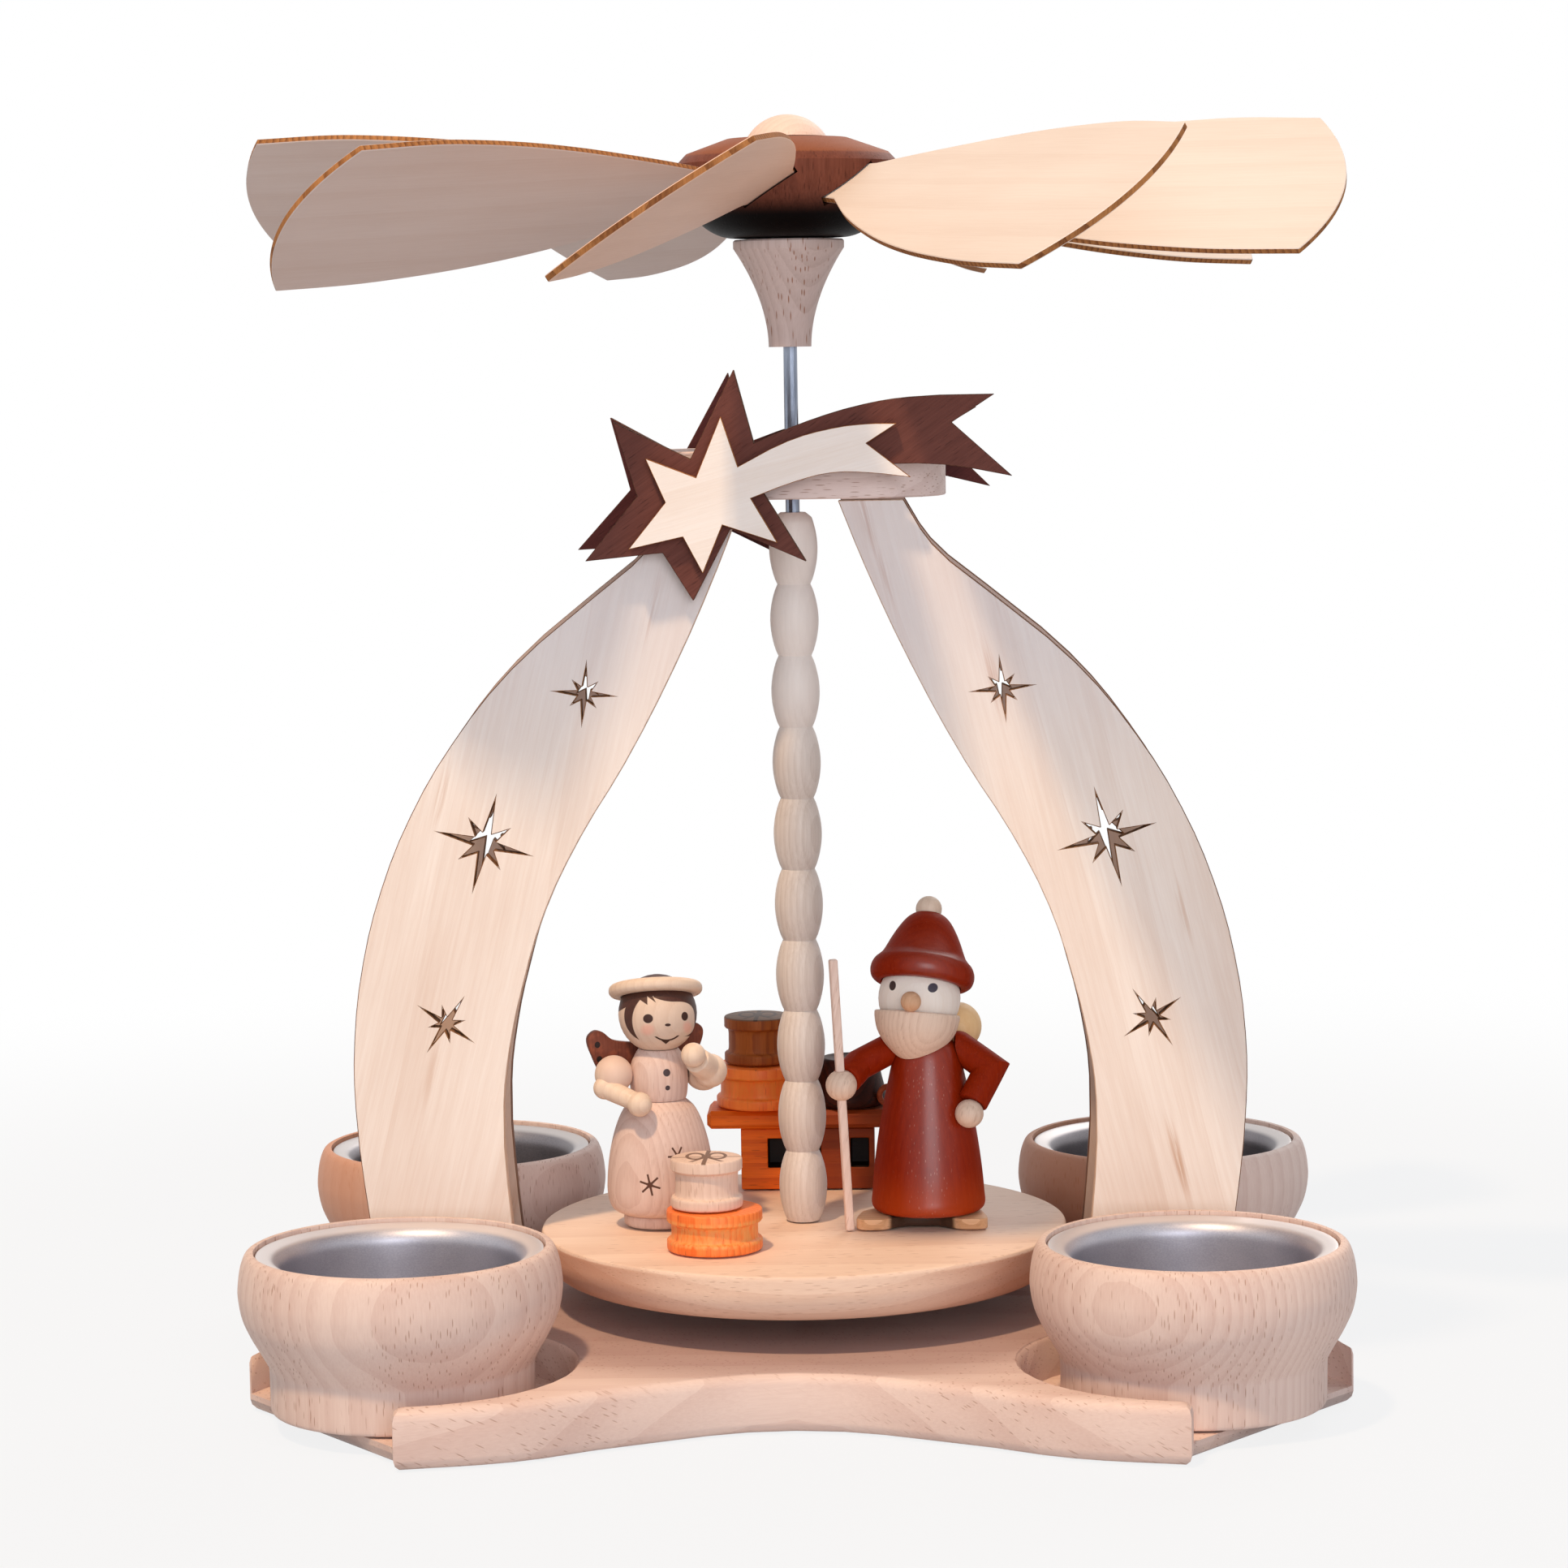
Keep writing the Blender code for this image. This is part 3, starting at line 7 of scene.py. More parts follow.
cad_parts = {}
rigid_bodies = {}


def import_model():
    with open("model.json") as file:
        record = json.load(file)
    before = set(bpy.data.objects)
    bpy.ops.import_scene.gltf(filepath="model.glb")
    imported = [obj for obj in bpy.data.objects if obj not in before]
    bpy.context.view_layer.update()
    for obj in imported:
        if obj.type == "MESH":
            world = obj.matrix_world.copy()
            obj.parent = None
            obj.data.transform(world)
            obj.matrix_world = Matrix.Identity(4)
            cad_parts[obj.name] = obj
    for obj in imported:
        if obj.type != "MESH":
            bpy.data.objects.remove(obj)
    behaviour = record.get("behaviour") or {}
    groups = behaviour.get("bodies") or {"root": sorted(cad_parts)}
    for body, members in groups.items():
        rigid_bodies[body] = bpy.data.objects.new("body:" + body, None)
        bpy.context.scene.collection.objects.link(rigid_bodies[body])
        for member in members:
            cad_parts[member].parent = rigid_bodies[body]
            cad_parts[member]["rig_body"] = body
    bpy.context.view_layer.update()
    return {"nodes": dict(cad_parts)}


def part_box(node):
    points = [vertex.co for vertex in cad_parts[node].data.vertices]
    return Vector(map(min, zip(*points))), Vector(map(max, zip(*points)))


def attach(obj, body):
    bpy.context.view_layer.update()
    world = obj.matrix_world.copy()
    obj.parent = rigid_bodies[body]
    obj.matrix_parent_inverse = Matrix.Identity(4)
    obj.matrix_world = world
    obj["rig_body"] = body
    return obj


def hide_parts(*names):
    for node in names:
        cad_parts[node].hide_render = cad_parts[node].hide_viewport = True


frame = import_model()
mm = 0.001
print("frame loaded:", len(frame["nodes"]), "nodes")


# The camera, at the photograph's own viewpoint
cameraSetup = {
    "place": (25.8, -783.1, 185.1),  # mm
    "turnLeft": 2.06,  # degrees
    "lookDown": 5.76,
    "tip": -0.92,
    "lens": 99.225,
}


def makeCamera(setup):
    turn = math.radians(-setup["turnLeft"])
    down = math.radians(setup["lookDown"])
    tip = math.radians(setup["tip"])
    ahead = Vector((math.sin(turn) * math.cos(down), math.cos(turn) * math.cos(down), -math.sin(down)))
    across = Vector((math.cos(turn), -math.sin(turn), 0))
    above = across.cross(ahead)
    right = math.cos(tip) * across + math.sin(tip) * above
    up = math.cos(tip) * above - math.sin(tip) * across
    bpy.ops.object.camera_add()
    camera = bpy.context.object
    camera.name = "photoCamera"
    rows = [(right[i], up[i], -ahead[i], setup["place"][i] * mm) for i in range(3)]
    camera.matrix_world = Matrix(rows + [(0, 0, 0, 1)])
    camera.data.sensor_width = 36
    camera.data.lens = setup["lens"]
    camera.data.clip_start = 0.01
    camera.data.clip_end = 50
    bpy.context.scene.camera = camera


makeCamera(cameraSetup)


# Shader maths: Python's operators add Math nodes
class Wire:
    def __init__(self, finish, socket):
        self.finish = finish
        self.socket = socket

    def math(self, operation, *others):
        values = dict(enumerate((self,) + others))
        return self.finish.add("ShaderNodeMath", {"operation": operation}, values)

    def __add__(self, other):
        return self.math("ADD", other)

    def __sub__(self, other):
        return self.math("SUBTRACT", other)

    def __rsub__(self, other):
        return (self * -1) + other

    def __mul__(self, other):
        return self.math("MULTIPLY", other)

    def __truediv__(self, other):
        return self.math("DIVIDE", other)

    def __abs__(self):
        return self.math("ABSOLUTE")

    __radd__ = __add__
    __rmul__ = __mul__

    def squared(self):
        return self.math("MULTIPLY", self)

    def root(self):
        return self.math("SQRT")

    def most(self, other):
        return self.math("MAXIMUM", other)

    def least(self, other):
        return self.math("MINIMUM", other)

    def ramp(self, start, end):  # 0 before start, 1 after end, smooth between; start may be above end
        sockets = {"Value": self, "From Min": start, "From Max": end}
        return self.finish.add("ShaderNodeMapRange", {"interpolation_type": "SMOOTHSTEP"}, sockets)


class Finish:
    def __init__(self, name, roughness=0.5, metallic=0, coat=0):
        self.material = bpy.data.materials.new(name)
        self.material.use_nodes = True
        self.tree = self.material.node_tree
        self.shader = self.tree.nodes["Principled BSDF"]
        self.set("Roughness", roughness)
        self.set("Metallic", metallic)
        self.set("Coat Weight", coat)
        self.set("Coat Roughness", 0.3)

    def set(self, socket, value):
        self.plug(self.shader.inputs[socket], value)

    def plug(self, socket, value):
        if isinstance(value, Wire):
            self.tree.links.new(value.socket, socket)
        elif isinstance(value, tuple) and len(value) == 3 and socket.type == "RGBA":
            socket.default_value = (*value, 1)
        else:
            socket.default_value = value

    def add(self, kind, settings, sockets, output=0):
        node = self.tree.nodes.new(kind)
        for key, value in settings.items():
            setattr(node, key, value)
        for key, value in sockets.items():
            self.plug(node.inputs[key], value)
        return Wire(self, node.outputs[output])

    def mix(self, first, second, share):  # colours
        return self.add("ShaderNodeMix", {"data_type": "RGBA"}, {0: share, 6: first, 7: second}, 2)

    def spot(self, centre=(0, 0, 0), turn=(0, 0, 0)):  # millimetres from centre, along turned axes
        here = self.add("ShaderNodeTexCoord", {}, {}, 3)
        turned = tuple(math.radians(angle) for angle in turn)
        sockets = {"Vector": here, "Location": tuple(value * mm for value in centre), "Rotation": turned,
                   "Scale": (mm, mm, mm)}
        return self.add("ShaderNodeMapping", {"vector_type": "TEXTURE"}, sockets)

    def uvSpot(self, scale):  # the piece's own flat map, in millimetres, with u along the grain
        flat = self.split(self.add("ShaderNodeTexCoord", {}, {}, 2))
        return self.add("ShaderNodeCombineXYZ", {}, {0: flat[1] * scale, 2: flat[0] * scale})

    def split(self, vector):
        node = self.tree.nodes.new("ShaderNodeSeparateXYZ")
        self.plug(node.inputs[0], vector)
        return [Wire(self, output) for output in node.outputs]

    def axes(self, centre=(0, 0, 0), turn=(0, 0, 0)):
        return self.split(self.spot(centre, turn))

    def stretch(self, vector, scale):
        return self.add("ShaderNodeVectorMath", {"operation": "MULTIPLY"}, {0: vector, 1: scale})

    def noise(self, vector, scale, detail=2, roughness=0.5):
        sockets = {"Vector": vector, "Scale": scale, "Detail": detail, "Roughness": roughness}
        return self.add("ShaderNodeTexNoise", {}, sockets)

    def cells(self, vector, scale=1):  # the distance to scattered points, one in each cell
        return self.add("ShaderNodeTexVoronoi", {}, {"Vector": vector, "Scale": scale})

    def bump(self, height, distance, strength):  # distance in millimetres
        sockets = {"Height": height, "Distance": distance * mm, "Strength": strength}
        self.set("Normal", self.add("ShaderNodeBump", {}, sockets))


# Wood and metal
plainWood = {
    "slot": None, "paint": None, "isFlat": False, "grainTurn": (0, 0, 0), "fibreScale": 3, "broadScale": 0.06,
    "fleckAmount": 0, "fleckCells": (2.3, 0.9, 0.24), "fleckSize": 0.27, "fleckTurn": None, "streakAmount": 0,
    "roughness": 0.46, "shine": 0.4, "coat": 0, "relief": 0.05,
}


def wood(name, look):
    finish = Finish(name, coat=look["coat"])
    finish.set("Specular IOR Level", look["shine"])
    grain = finish.uvSpot(100) if look["isFlat"] else finish.spot(look["heart"], look["grainTurn"])
    rings = finish.add("ShaderNodeTexWave",
                       {"wave_type": "RINGS", "rings_direction": "Z", "wave_profile": "SAW"},
                       {"Vector": finish.stretch(grain, (1, 1, 0.12)), "Scale": 0.314 / look["ringSpacing"],
                        "Distortion": look["ringWander"], "Detail": 2, "Detail Scale": 0.4}, 1)
    fibre = finish.noise(finish.stretch(grain, (1, 1, 0.035)), look["fibreScale"], 4, 0.65)
    broad = finish.noise(finish.stretch(grain, (1, 1, 0.3)), look["broadScale"])
    tone = (rings.ramp(0.3, 0.98) * look["ringAmount"] + (fibre - 0.5) * look["fibreAmount"]
            + (broad - 0.5) * look["broadAmount"] + 0.3)
    colour = finish.mix(look["pale"], look["deep"], tone.least(1).most(0))
    height = fibre
    if look["fleckAmount"]:  # the short dark rays of beech
        place = finish.spot(look["heart"], look["fleckTurn"]) if look["fleckTurn"] else grain
        distance = finish.cells(finish.stretch(place, look["fleckCells"]))
        fleck = distance.ramp(look["fleckSize"], 0.13) * broad.ramp(0.3, 0.55)
        colour = finish.mix(colour, look["fleck"], fleck * look["fleckAmount"])
        height = fibre - fleck
    if look["streakAmount"]:
        distance = finish.cells(finish.stretch(grain, (0.16, 0.16, 0.022)))
        streak = distance.ramp(0.24, 0.02) * fibre.ramp(0.35, 0.6)
        colour = finish.mix(colour, look["streak"], streak * look["streakAmount"])
    if look["paint"]:
        colour = look["paint"](finish, colour)
    finish.set("Base Color", colour)
    finish.set("Roughness", fibre * 0.14 + look["roughness"])
    finish.bump(height, look["relief"], 0.5)
    return finish.material


def metal(name, look):
    finish = Finish(name, metallic=1)
    fine = finish.noise(finish.stretch(finish.spot(), look["stretch"]), look["scale"], 3, 0.6)
    cloud = finish.noise(finish.spot(), 0.08)
    colour = finish.mix(look["dark"], look["light"], (fine * 0.5 + cloud * 0.5).ramp(0.25, 0.75))
    if "rim" in look:  # the flange is painted brighter and warmer, as a painted reflection of the warm light
        colour = finish.mix(colour, look["rim"], finish.axes()[2].ramp(29.5, 30.2) * 0.9)
    finish.set("Base Color", colour)
    finish.set("Roughness", fine * 0.16 + look["roughness"])
    finish.bump(fine, 0.02, 0.4)
    return finish.material


# Painted and burnt details, and painted light and shade: each one takes a finish and its colour, and gives
# the new colour back
def paintedShading(axis, start, end, shade, share):  # painted light and shade: a colour laid in along one axis
    def paint(finish, colour):
        return finish.mix(colour, shade, finish.axes()[axis].ramp(start, end) * share)

    return paint


def layers(*paints):
    def paint(finish, colour):
        for coat in paints:
            colour = coat(finish, colour)
        return colour

    return paint


def boxOf(node):  # lowest and highest corner in millimetres
    low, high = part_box(node)
    return low / mm, high / mm


def middleOf(node):
    low, high = boxOf(node)
    return (low + high) / 2


def oval(u, w, centre, radii, soft=(1.08, 0.92)):  # 1 inside, 0 outside, with a soft edge
    across = (u - centre[0]) / radii[0]
    along = (w - centre[1]) / radii[1]
    return (across.squared() + along.squared()).root().ramp(*soft)


def rays(u, w, centre, count, reach, width, turn):  # burnt lines through a centre
    across = u - centre[0]
    along = w - centre[1]
    distance = (across.squared() + along.squared()).root()
    angle = along.math("ARCTAN2", across)
    offset = abs(((angle + turn) * (count / 2)).math("SINE")) * distance * (2 / count)
    return offset.ramp(width * 0.62, width * 0.38) * distance.ramp(reach, reach * 0.94)


def angelFace(finish, colour):
    centre = tuple(middleOf("angel_head"))
    x, y, z = finish.axes(centre, (-9, 0, 3.8))
    x = x + 0.1
    z = z - 0.2
    front = y.ramp(0.5, -0.5)
    blush = oval(x, z, (-1.75, -3.2), (1.55, 1.25), (1.15, 0.35))
    blush = blush.most(oval(x, z, (5.5, -2.9), (1, 1.35), (1.15, 0.35)))
    colour = finish.mix(colour, (0.88, 0.36, 0.27), blush * front * 0.45)

    insideLock = ((x + 1.14).squared() + (z + 0.66).squared()).root().ramp(4.92, 4.78)
    outsideFace = ((x - 1).squared() + (z + 1.53).squared()).root().ramp(5.46, 5.6)
    leftLock = insideLock * outsideFace * x.ramp(-2.6, -2.8)
    temple = (z - (x + 5.58) * 0.55).ramp(0.95, 1.1) * x.ramp(-3.4, -3.5)
    firstTip = (z + (x + 3.35) * 0.71).ramp(2.4, 2.55) * x.ramp(-1.66, -1.78) * x.ramp(-3.5, -3.4)
    secondTip = (z + (x + 1.6) * 0.74).ramp(2.68, 2.82) * (x + (z - 1.61) * 0.5).ramp(-0.06, -0.18)
    secondTip = secondTip * x.ramp(-1.7, -1.6)
    rise = (3.2 - x).most(0).squared() * 0.06
    right = (x - 3.2).most(0) / 3.6
    upward = abs(z - rise + 1.4) / 3.2
    swoop = (right * right.squared() + upward * upward.squared()).ramp(0.97, 1.05) * x.ramp(-0.7, -0.5)
    swoop = swoop * z.ramp(-4.6, -4.4) * z.ramp(-1.2, -0.8).most(x.ramp(4.4, 4.6))
    crown = z.ramp(2.8, 2.95)
    hair = leftLock.most(temple).most(firstTip).most(secondTip).most(swoop).most(crown)
    hair = (hair * y.ramp(0.6, 0.2)).most(y.ramp(0.9, 1.4))
    lines = finish.noise(finish.stretch(finish.spot(centre), (1, 1, 0.2)), 4)
    colour = finish.mix(colour, finish.mix((0.028, 0.008, 0.004), (0.085, 0.022, 0.012), lines), hair)

    eyes = oval(x, z, (-1.66, -1.17), (0.9, 0.82)).most(oval(x, z, (5.01, -0.87), (0.6, 0.8)))
    nose = oval(x, z, (1.91, -2.38), (0.53, 0.26))
    reach = ((x - 1.64).squared() + (z + 2.02).squared()).root()
    smile = abs(reach - 3.14).ramp(0.19, 0.1) * (z - (x - 1.7) * 0.03).ramp(-4.3, -4.44)
    tongue = (abs(x - 1.49) * 0.8 - (z + 5.85)).ramp(0.06, -0.06) * z.ramp(-5, -5.1)
    return finish.mix(colour, (0.035, 0.009, 0.005), eyes.most(nose).most(smile).most(tongue) * front)


def santaFace(finish, colour):
    u, v, w = finish.axes(tuple(middleOf("santa_head")), (-5.8, 0, -11.2))
    front = v.ramp(0.5, -0.5)
    colour = finish.mix(colour, (0.03, 0.008, 0.007), oval(u, w, (-3.78, 2.45), (0.7, 0.86)) * front)
    return finish.mix(colour, (0.045, 0.035, 0.055), oval(u, w, (3.68, 2.2), (0.82, 0.84)) * front)


angelPlace = (-26.1, -2)


def skirtFlakes(finish, colour):
    x, y, z = finish.axes((*angelPlace, 0), (0, 0, -8))
    marks = rays(x, z, (0, 34.4), 6, 2.05, 0.36, 0.3) * y.ramp(0, -0.5)
    x, y, z = finish.axes((*angelPlace, 0), (0, 0, 24))
    marks = marks.most(rays(x, z, (0, 39.4), 6, 1.9, 0.34, 0) * y.ramp(0, -0.5))
    return finish.mix(colour, (0.085, 0.028, 0.014), marks)


def bustButtons(finish, colour):
    u, v, w = finish.axes((*angelPlace, 0), (0, 0, 20))
    marks = oval(u, w, (0, 54.2), (0.68, 0.68)).most(oval(u, w, (0.1, 51.4), (0.46, 0.46)))
    return finish.mix(colour, (0.05, 0.03, 0.035), marks * v.ramp(0, -0.5))


def wingDots(finish, colour):
    low, high = boxOf("angel_wings")
    x, y, z = finish.axes()
    marks = oval(x, z, (low[0] + 2.2, high[2] - 2.6), (0.5, 0.6))
    marks = marks.most(oval(x, z, (low[0] + 2.5, high[2] - 5.3), (0.5, 0.6)))
    colour = finish.mix(colour, (0.36, 0.1, 0.05), finish.noise(finish.spot(), 0.5).ramp(0.45, 0.7) * 0.6)
    return finish.mix(colour, (0.022, 0.012, 0.01), marks)


def specksAndGlints(finish, colour):  # small specks, painted whitish as glints in a band down the coat's front where the highlight falls, a glossy band down the coat's front, and a brighter orange-red towards the hem
    spot = finish.spot()
    x, y, z = finish.split(spot)
    front = y.ramp(-3, -7)
    finish.set("Coat Weight", abs(x - 23.8).ramp(7, 1) * front * 0.85 + 0.04)
    distance = finish.cells(finish.stretch(spot, (2.2, 2.2, 0.65)))
    rare = finish.noise(spot, 0.5, 1).ramp(0.38, 0.52)
    # painted glints: the specks turn whitish only in this band, where the highlight falls
    band = abs(x - 23.2).ramp(5.5, 1) * front * z.ramp(58, 54) * 0.5 + 0.05
    colour = finish.mix(colour, (0.55, 0.068, 0.008), z.ramp(38, 28) * 0.5)
    return finish.mix(colour, (0.58, 0.3, 0.24), distance.ramp(0.24, 0.1) * rare * band)


def ribbonTop(node, mark, darkTopShare):
    def paint(finish, colour):
        middle = middleOf(node)
        u, v, w = finish.axes((middle[0], middle[1], boxOf(node)[1][2]), (0, 0, 3))
        top = w.ramp(-0.4, -0.1)
        # the top face is darkened towards grey-brown by this share
        colour = finish.mix(colour, (0.11, 0.075, 0.05), top * darkTopShare)
        band = abs(u - v * 0.08).ramp(0.5, 0.3)
        thread = abs(v).ramp(0.5, 0.3) * 0.6
        away = abs(u)
        loop = (((away - 1.95) / 1.75).squared() + ((v - 0.9) / 3.3).squared()).root()
        bow = abs(loop - 0.84).ramp(0.24, 0.12)
        tails = abs(away * 1.5 + v + 0.2).ramp(0.75, 0.45) * v.ramp(-4.6, -4.2) * v.ramp(0, -0.3)
        return finish.mix(colour, mark, band.most(thread).most(bow).most(tails) * top * 0.92)

    return paint


def wornWaist(node, bare):  # the recess keeps less stain than the bands, and the rims have dark chips
    def paint(finish, colour):
        x, y, z = finish.axes((0, 0, middleOf(node)[2]))
        grain = finish.noise(finish.stretch(finish.spot(), (1, 1, 0.3)), 1.6)
        colour = finish.mix(colour, bare, abs(z).ramp(2.5, 2) * grain.ramp(0.3, 0.62) * 0.6)
        spot = finish.spot((0.3, 0.2, 0.1))
        chips = finish.cells(spot, 0.42).ramp(0.13, 0.08)
        chips = chips * abs(z).ramp(2.6, 3.4) * finish.noise(spot, 0.3, 1).ramp(0.5, 0.6)
        return finish.mix(colour, (0.09, 0.012, 0.004), chips)

    return paint


def paintedTableShadow(finish, colour):  # painted shadow: the board's top is darker where the turntable covers it
    x, y, z = finish.axes()
    covered = (x.squared() + y.squared()).root().ramp(74, 52) * z.ramp(10.2, 10.4)
    return finish.mix(colour, (0.28, 0.16, 0.16), covered * 0.6)


def shadedRimSides(finish, colour):  # painted shade: the rim is darker and redder towards both sides, where it turns away from the light
    x, y, z = finish.axes()
    return finish.mix(colour, (0.47, 0.15, 0.065), abs(x).ramp(14, 42) * z.ramp(24.7, 24.3) * 0.6)


def shadedWindows(finish, colour):  # painted shade: the stand's openings are painted near black inside
    low, high = boxOf("sledge_stand")
    x, y, z = finish.axes()
    length = high[0] - low[0]
    openings = abs(x + length * 0.1).ramp(length * 0.2 + 0.1, length * 0.2)
    openings = openings.most(abs(x - length * 0.39).ramp(length * 0.07 + 0.1, length * 0.07))
    tall = high[2] - low[2]
    inside = abs(z - low[2] - tall * 0.59).ramp(tall * 0.24 + 0.1, tall * 0.24)
    inside = inside * y.ramp(low[1] + 0.1, low[1] + 0.4) * y.ramp(low[1] + 5.6, low[1] + 5.3)
    return finish.mix(colour, (0.008, 0.002, 0.001), openings * inside)


def litBevelShadedBelow(finish, colour):  # painted light and shade: the hub's upper bevel is painted brighter, as lit from above, and its underside nearly black, as painted shade
    height = finish.axes((0, 0, boxOf("fan_hub")[0][2]))[2]
    colour = finish.mix(colour, (0.34, 0.115, 0.05), height.ramp(14.4, 14.9) * 0.6)
    return finish.mix(colour, (0.002, 0.001, 0.001), height.ramp(8, 3.6))


def shadedMiddle(finish, colour):  # both shoes are cut from one plate, and its middle is nearly black
    x = finish.axes((middleOf("santa_shoes")[0], 0, 0))[0]
    return finish.mix(colour, (0.035, 0.012, 0.007), abs(x).ramp(6.3, 5.3) * 0.95)


def pinkSleeve(finish, colour):  # the left upper sleeve is of the dress's wood
    x, y, z = finish.axes((-34, -4.9, 53.7))
    near = (x.squared() + y.squared() + z.squared()).root().ramp(3.64, 3.54)
    return finish.mix(colour, (0.74, 0.53, 0.44), near * 0.8)


# painted shade: the arches' upper parts are greyed, where the fan's shadow falls
shadedTop = paintedShading(2, 98, 142, (0.545, 0.55, 0.645), 0.38)
backFront = boxOf("arch_left_back")[0][1]
# A back plate's front face is painted browner, as painted shade between the plates that shows through the
# front stars
shadedBackFront = paintedShading(1, backFront + 0.6, backFront + 0.3, (0.42, 0.25, 0.165), 0.6)


# Looks: each one starts from another and says what differs
beech = dict(plainWood, slot="beech", heart=(0, -240, 0), ringSpacing=3.4, ringWander=5, ringAmount=0.3,
             fibreAmount=0.8, broadAmount=0.9, fleckAmount=0.6, roughness=0.5, pale=(0.79, 0.63, 0.565),
             deep=(0.62, 0.425, 0.37), fleck=(0.33, 0.145, 0.08))
dress = dict(beech, heart=(-60, -50, 0), ringSpacing=1.1, ringAmount=0.35, pale=(0.77, 0.595, 0.53),
             deep=(0.595, 0.405, 0.345), fleckAmount=0.25)
beard = dict(beech, heart=(18, -26, 0), grainTurn=(0, 12, 0), ringSpacing=1, fleckAmount=0.35,
             pale=(0.87, 0.67, 0.54), deep=(0.66, 0.45, 0.335))
maple = dict(plainWood, slot="maple", heart=(-66, 40, 60), ringSpacing=1.4, ringWander=3, ringAmount=0.22,
             fibreAmount=0.7, broadAmount=0.5, pale=(0.84, 0.68, 0.55), deep=(0.69, 0.495, 0.37))
arch = dict(plainWood, slot="alder", heart=(0, 160, 0), ringSpacing=6, ringWander=7, ringAmount=0.26,
            fibreAmount=1.25, broadAmount=1.4, fibreScale=1.6, streakAmount=1, pale=(0.93, 0.83, 0.76),
            deep=(0.8, 0.645, 0.555), streak=(0.6, 0.36, 0.24), paint=shadedTop)
leftArch = dict(arch, grainTurn=(0, 14, 0))
rightArch = dict(arch, grainTurn=(0, -14, 0))
blade = dict(plainWood, slot="birch_plywood", isFlat=True, ringSpacing=7, ringWander=9, ringAmount=0.14,
             fibreAmount=0.6, broadAmount=0.9, fibreScale=2.2, pale=(0.8, 0.73, 0.68),
             deep=(0.68, 0.55, 0.48))
burnt = dict(plainWood, heart=(0, 0, 400), ringSpacing=1.2, ringWander=6, ringAmount=0.5, fibreAmount=1.3,
             broadAmount=0.9, pale=(0.5, 0.22, 0.075), deep=(0.17, 0.06, 0.02), roughness=0.7, shine=0.2)
walnut = dict(plainWood, slot="walnut_stain", heart=(60, -40, 60), ringSpacing=2.4, ringWander=6,
              ringAmount=0.12, fibreAmount=1.2, broadAmount=0.9, fleckAmount=0.4, roughness=0.42, shine=0.2,
              pale=(0.215, 0.07, 0.045), deep=(0.09, 0.026, 0.016), fleck=(0.02, 0.006, 0.004))
darkComet = dict(walnut, grainTurn=(0, 55, 0), roughness=0.6, shine=0.15, pale=(0.165, 0.056, 0.043),
                 deep=(0.082, 0.026, 0.021))
orange = dict(plainWood, slot="orange_stain", heart=(-40, -60, 0), ringSpacing=1.2, ringWander=3,
              ringAmount=0.45, fibreAmount=1, broadAmount=0.8, fleckAmount=0.4, pale=(0.98, 0.28, 0.06),
              deep=(0.8, 0.13, 0.012), fleck=(0.25, 0.03, 0), coat=0.1)
rust = dict(orange, slot="rust_stain", pale=(0.98, 0.19, 0.008), deep=(0.62, 0.085, 0.002), heart=(20, 90, 0),
            fleck=(0.09, 0.015, 0), grainTurn=(0, 90, 0), shine=0.25, coat=0)

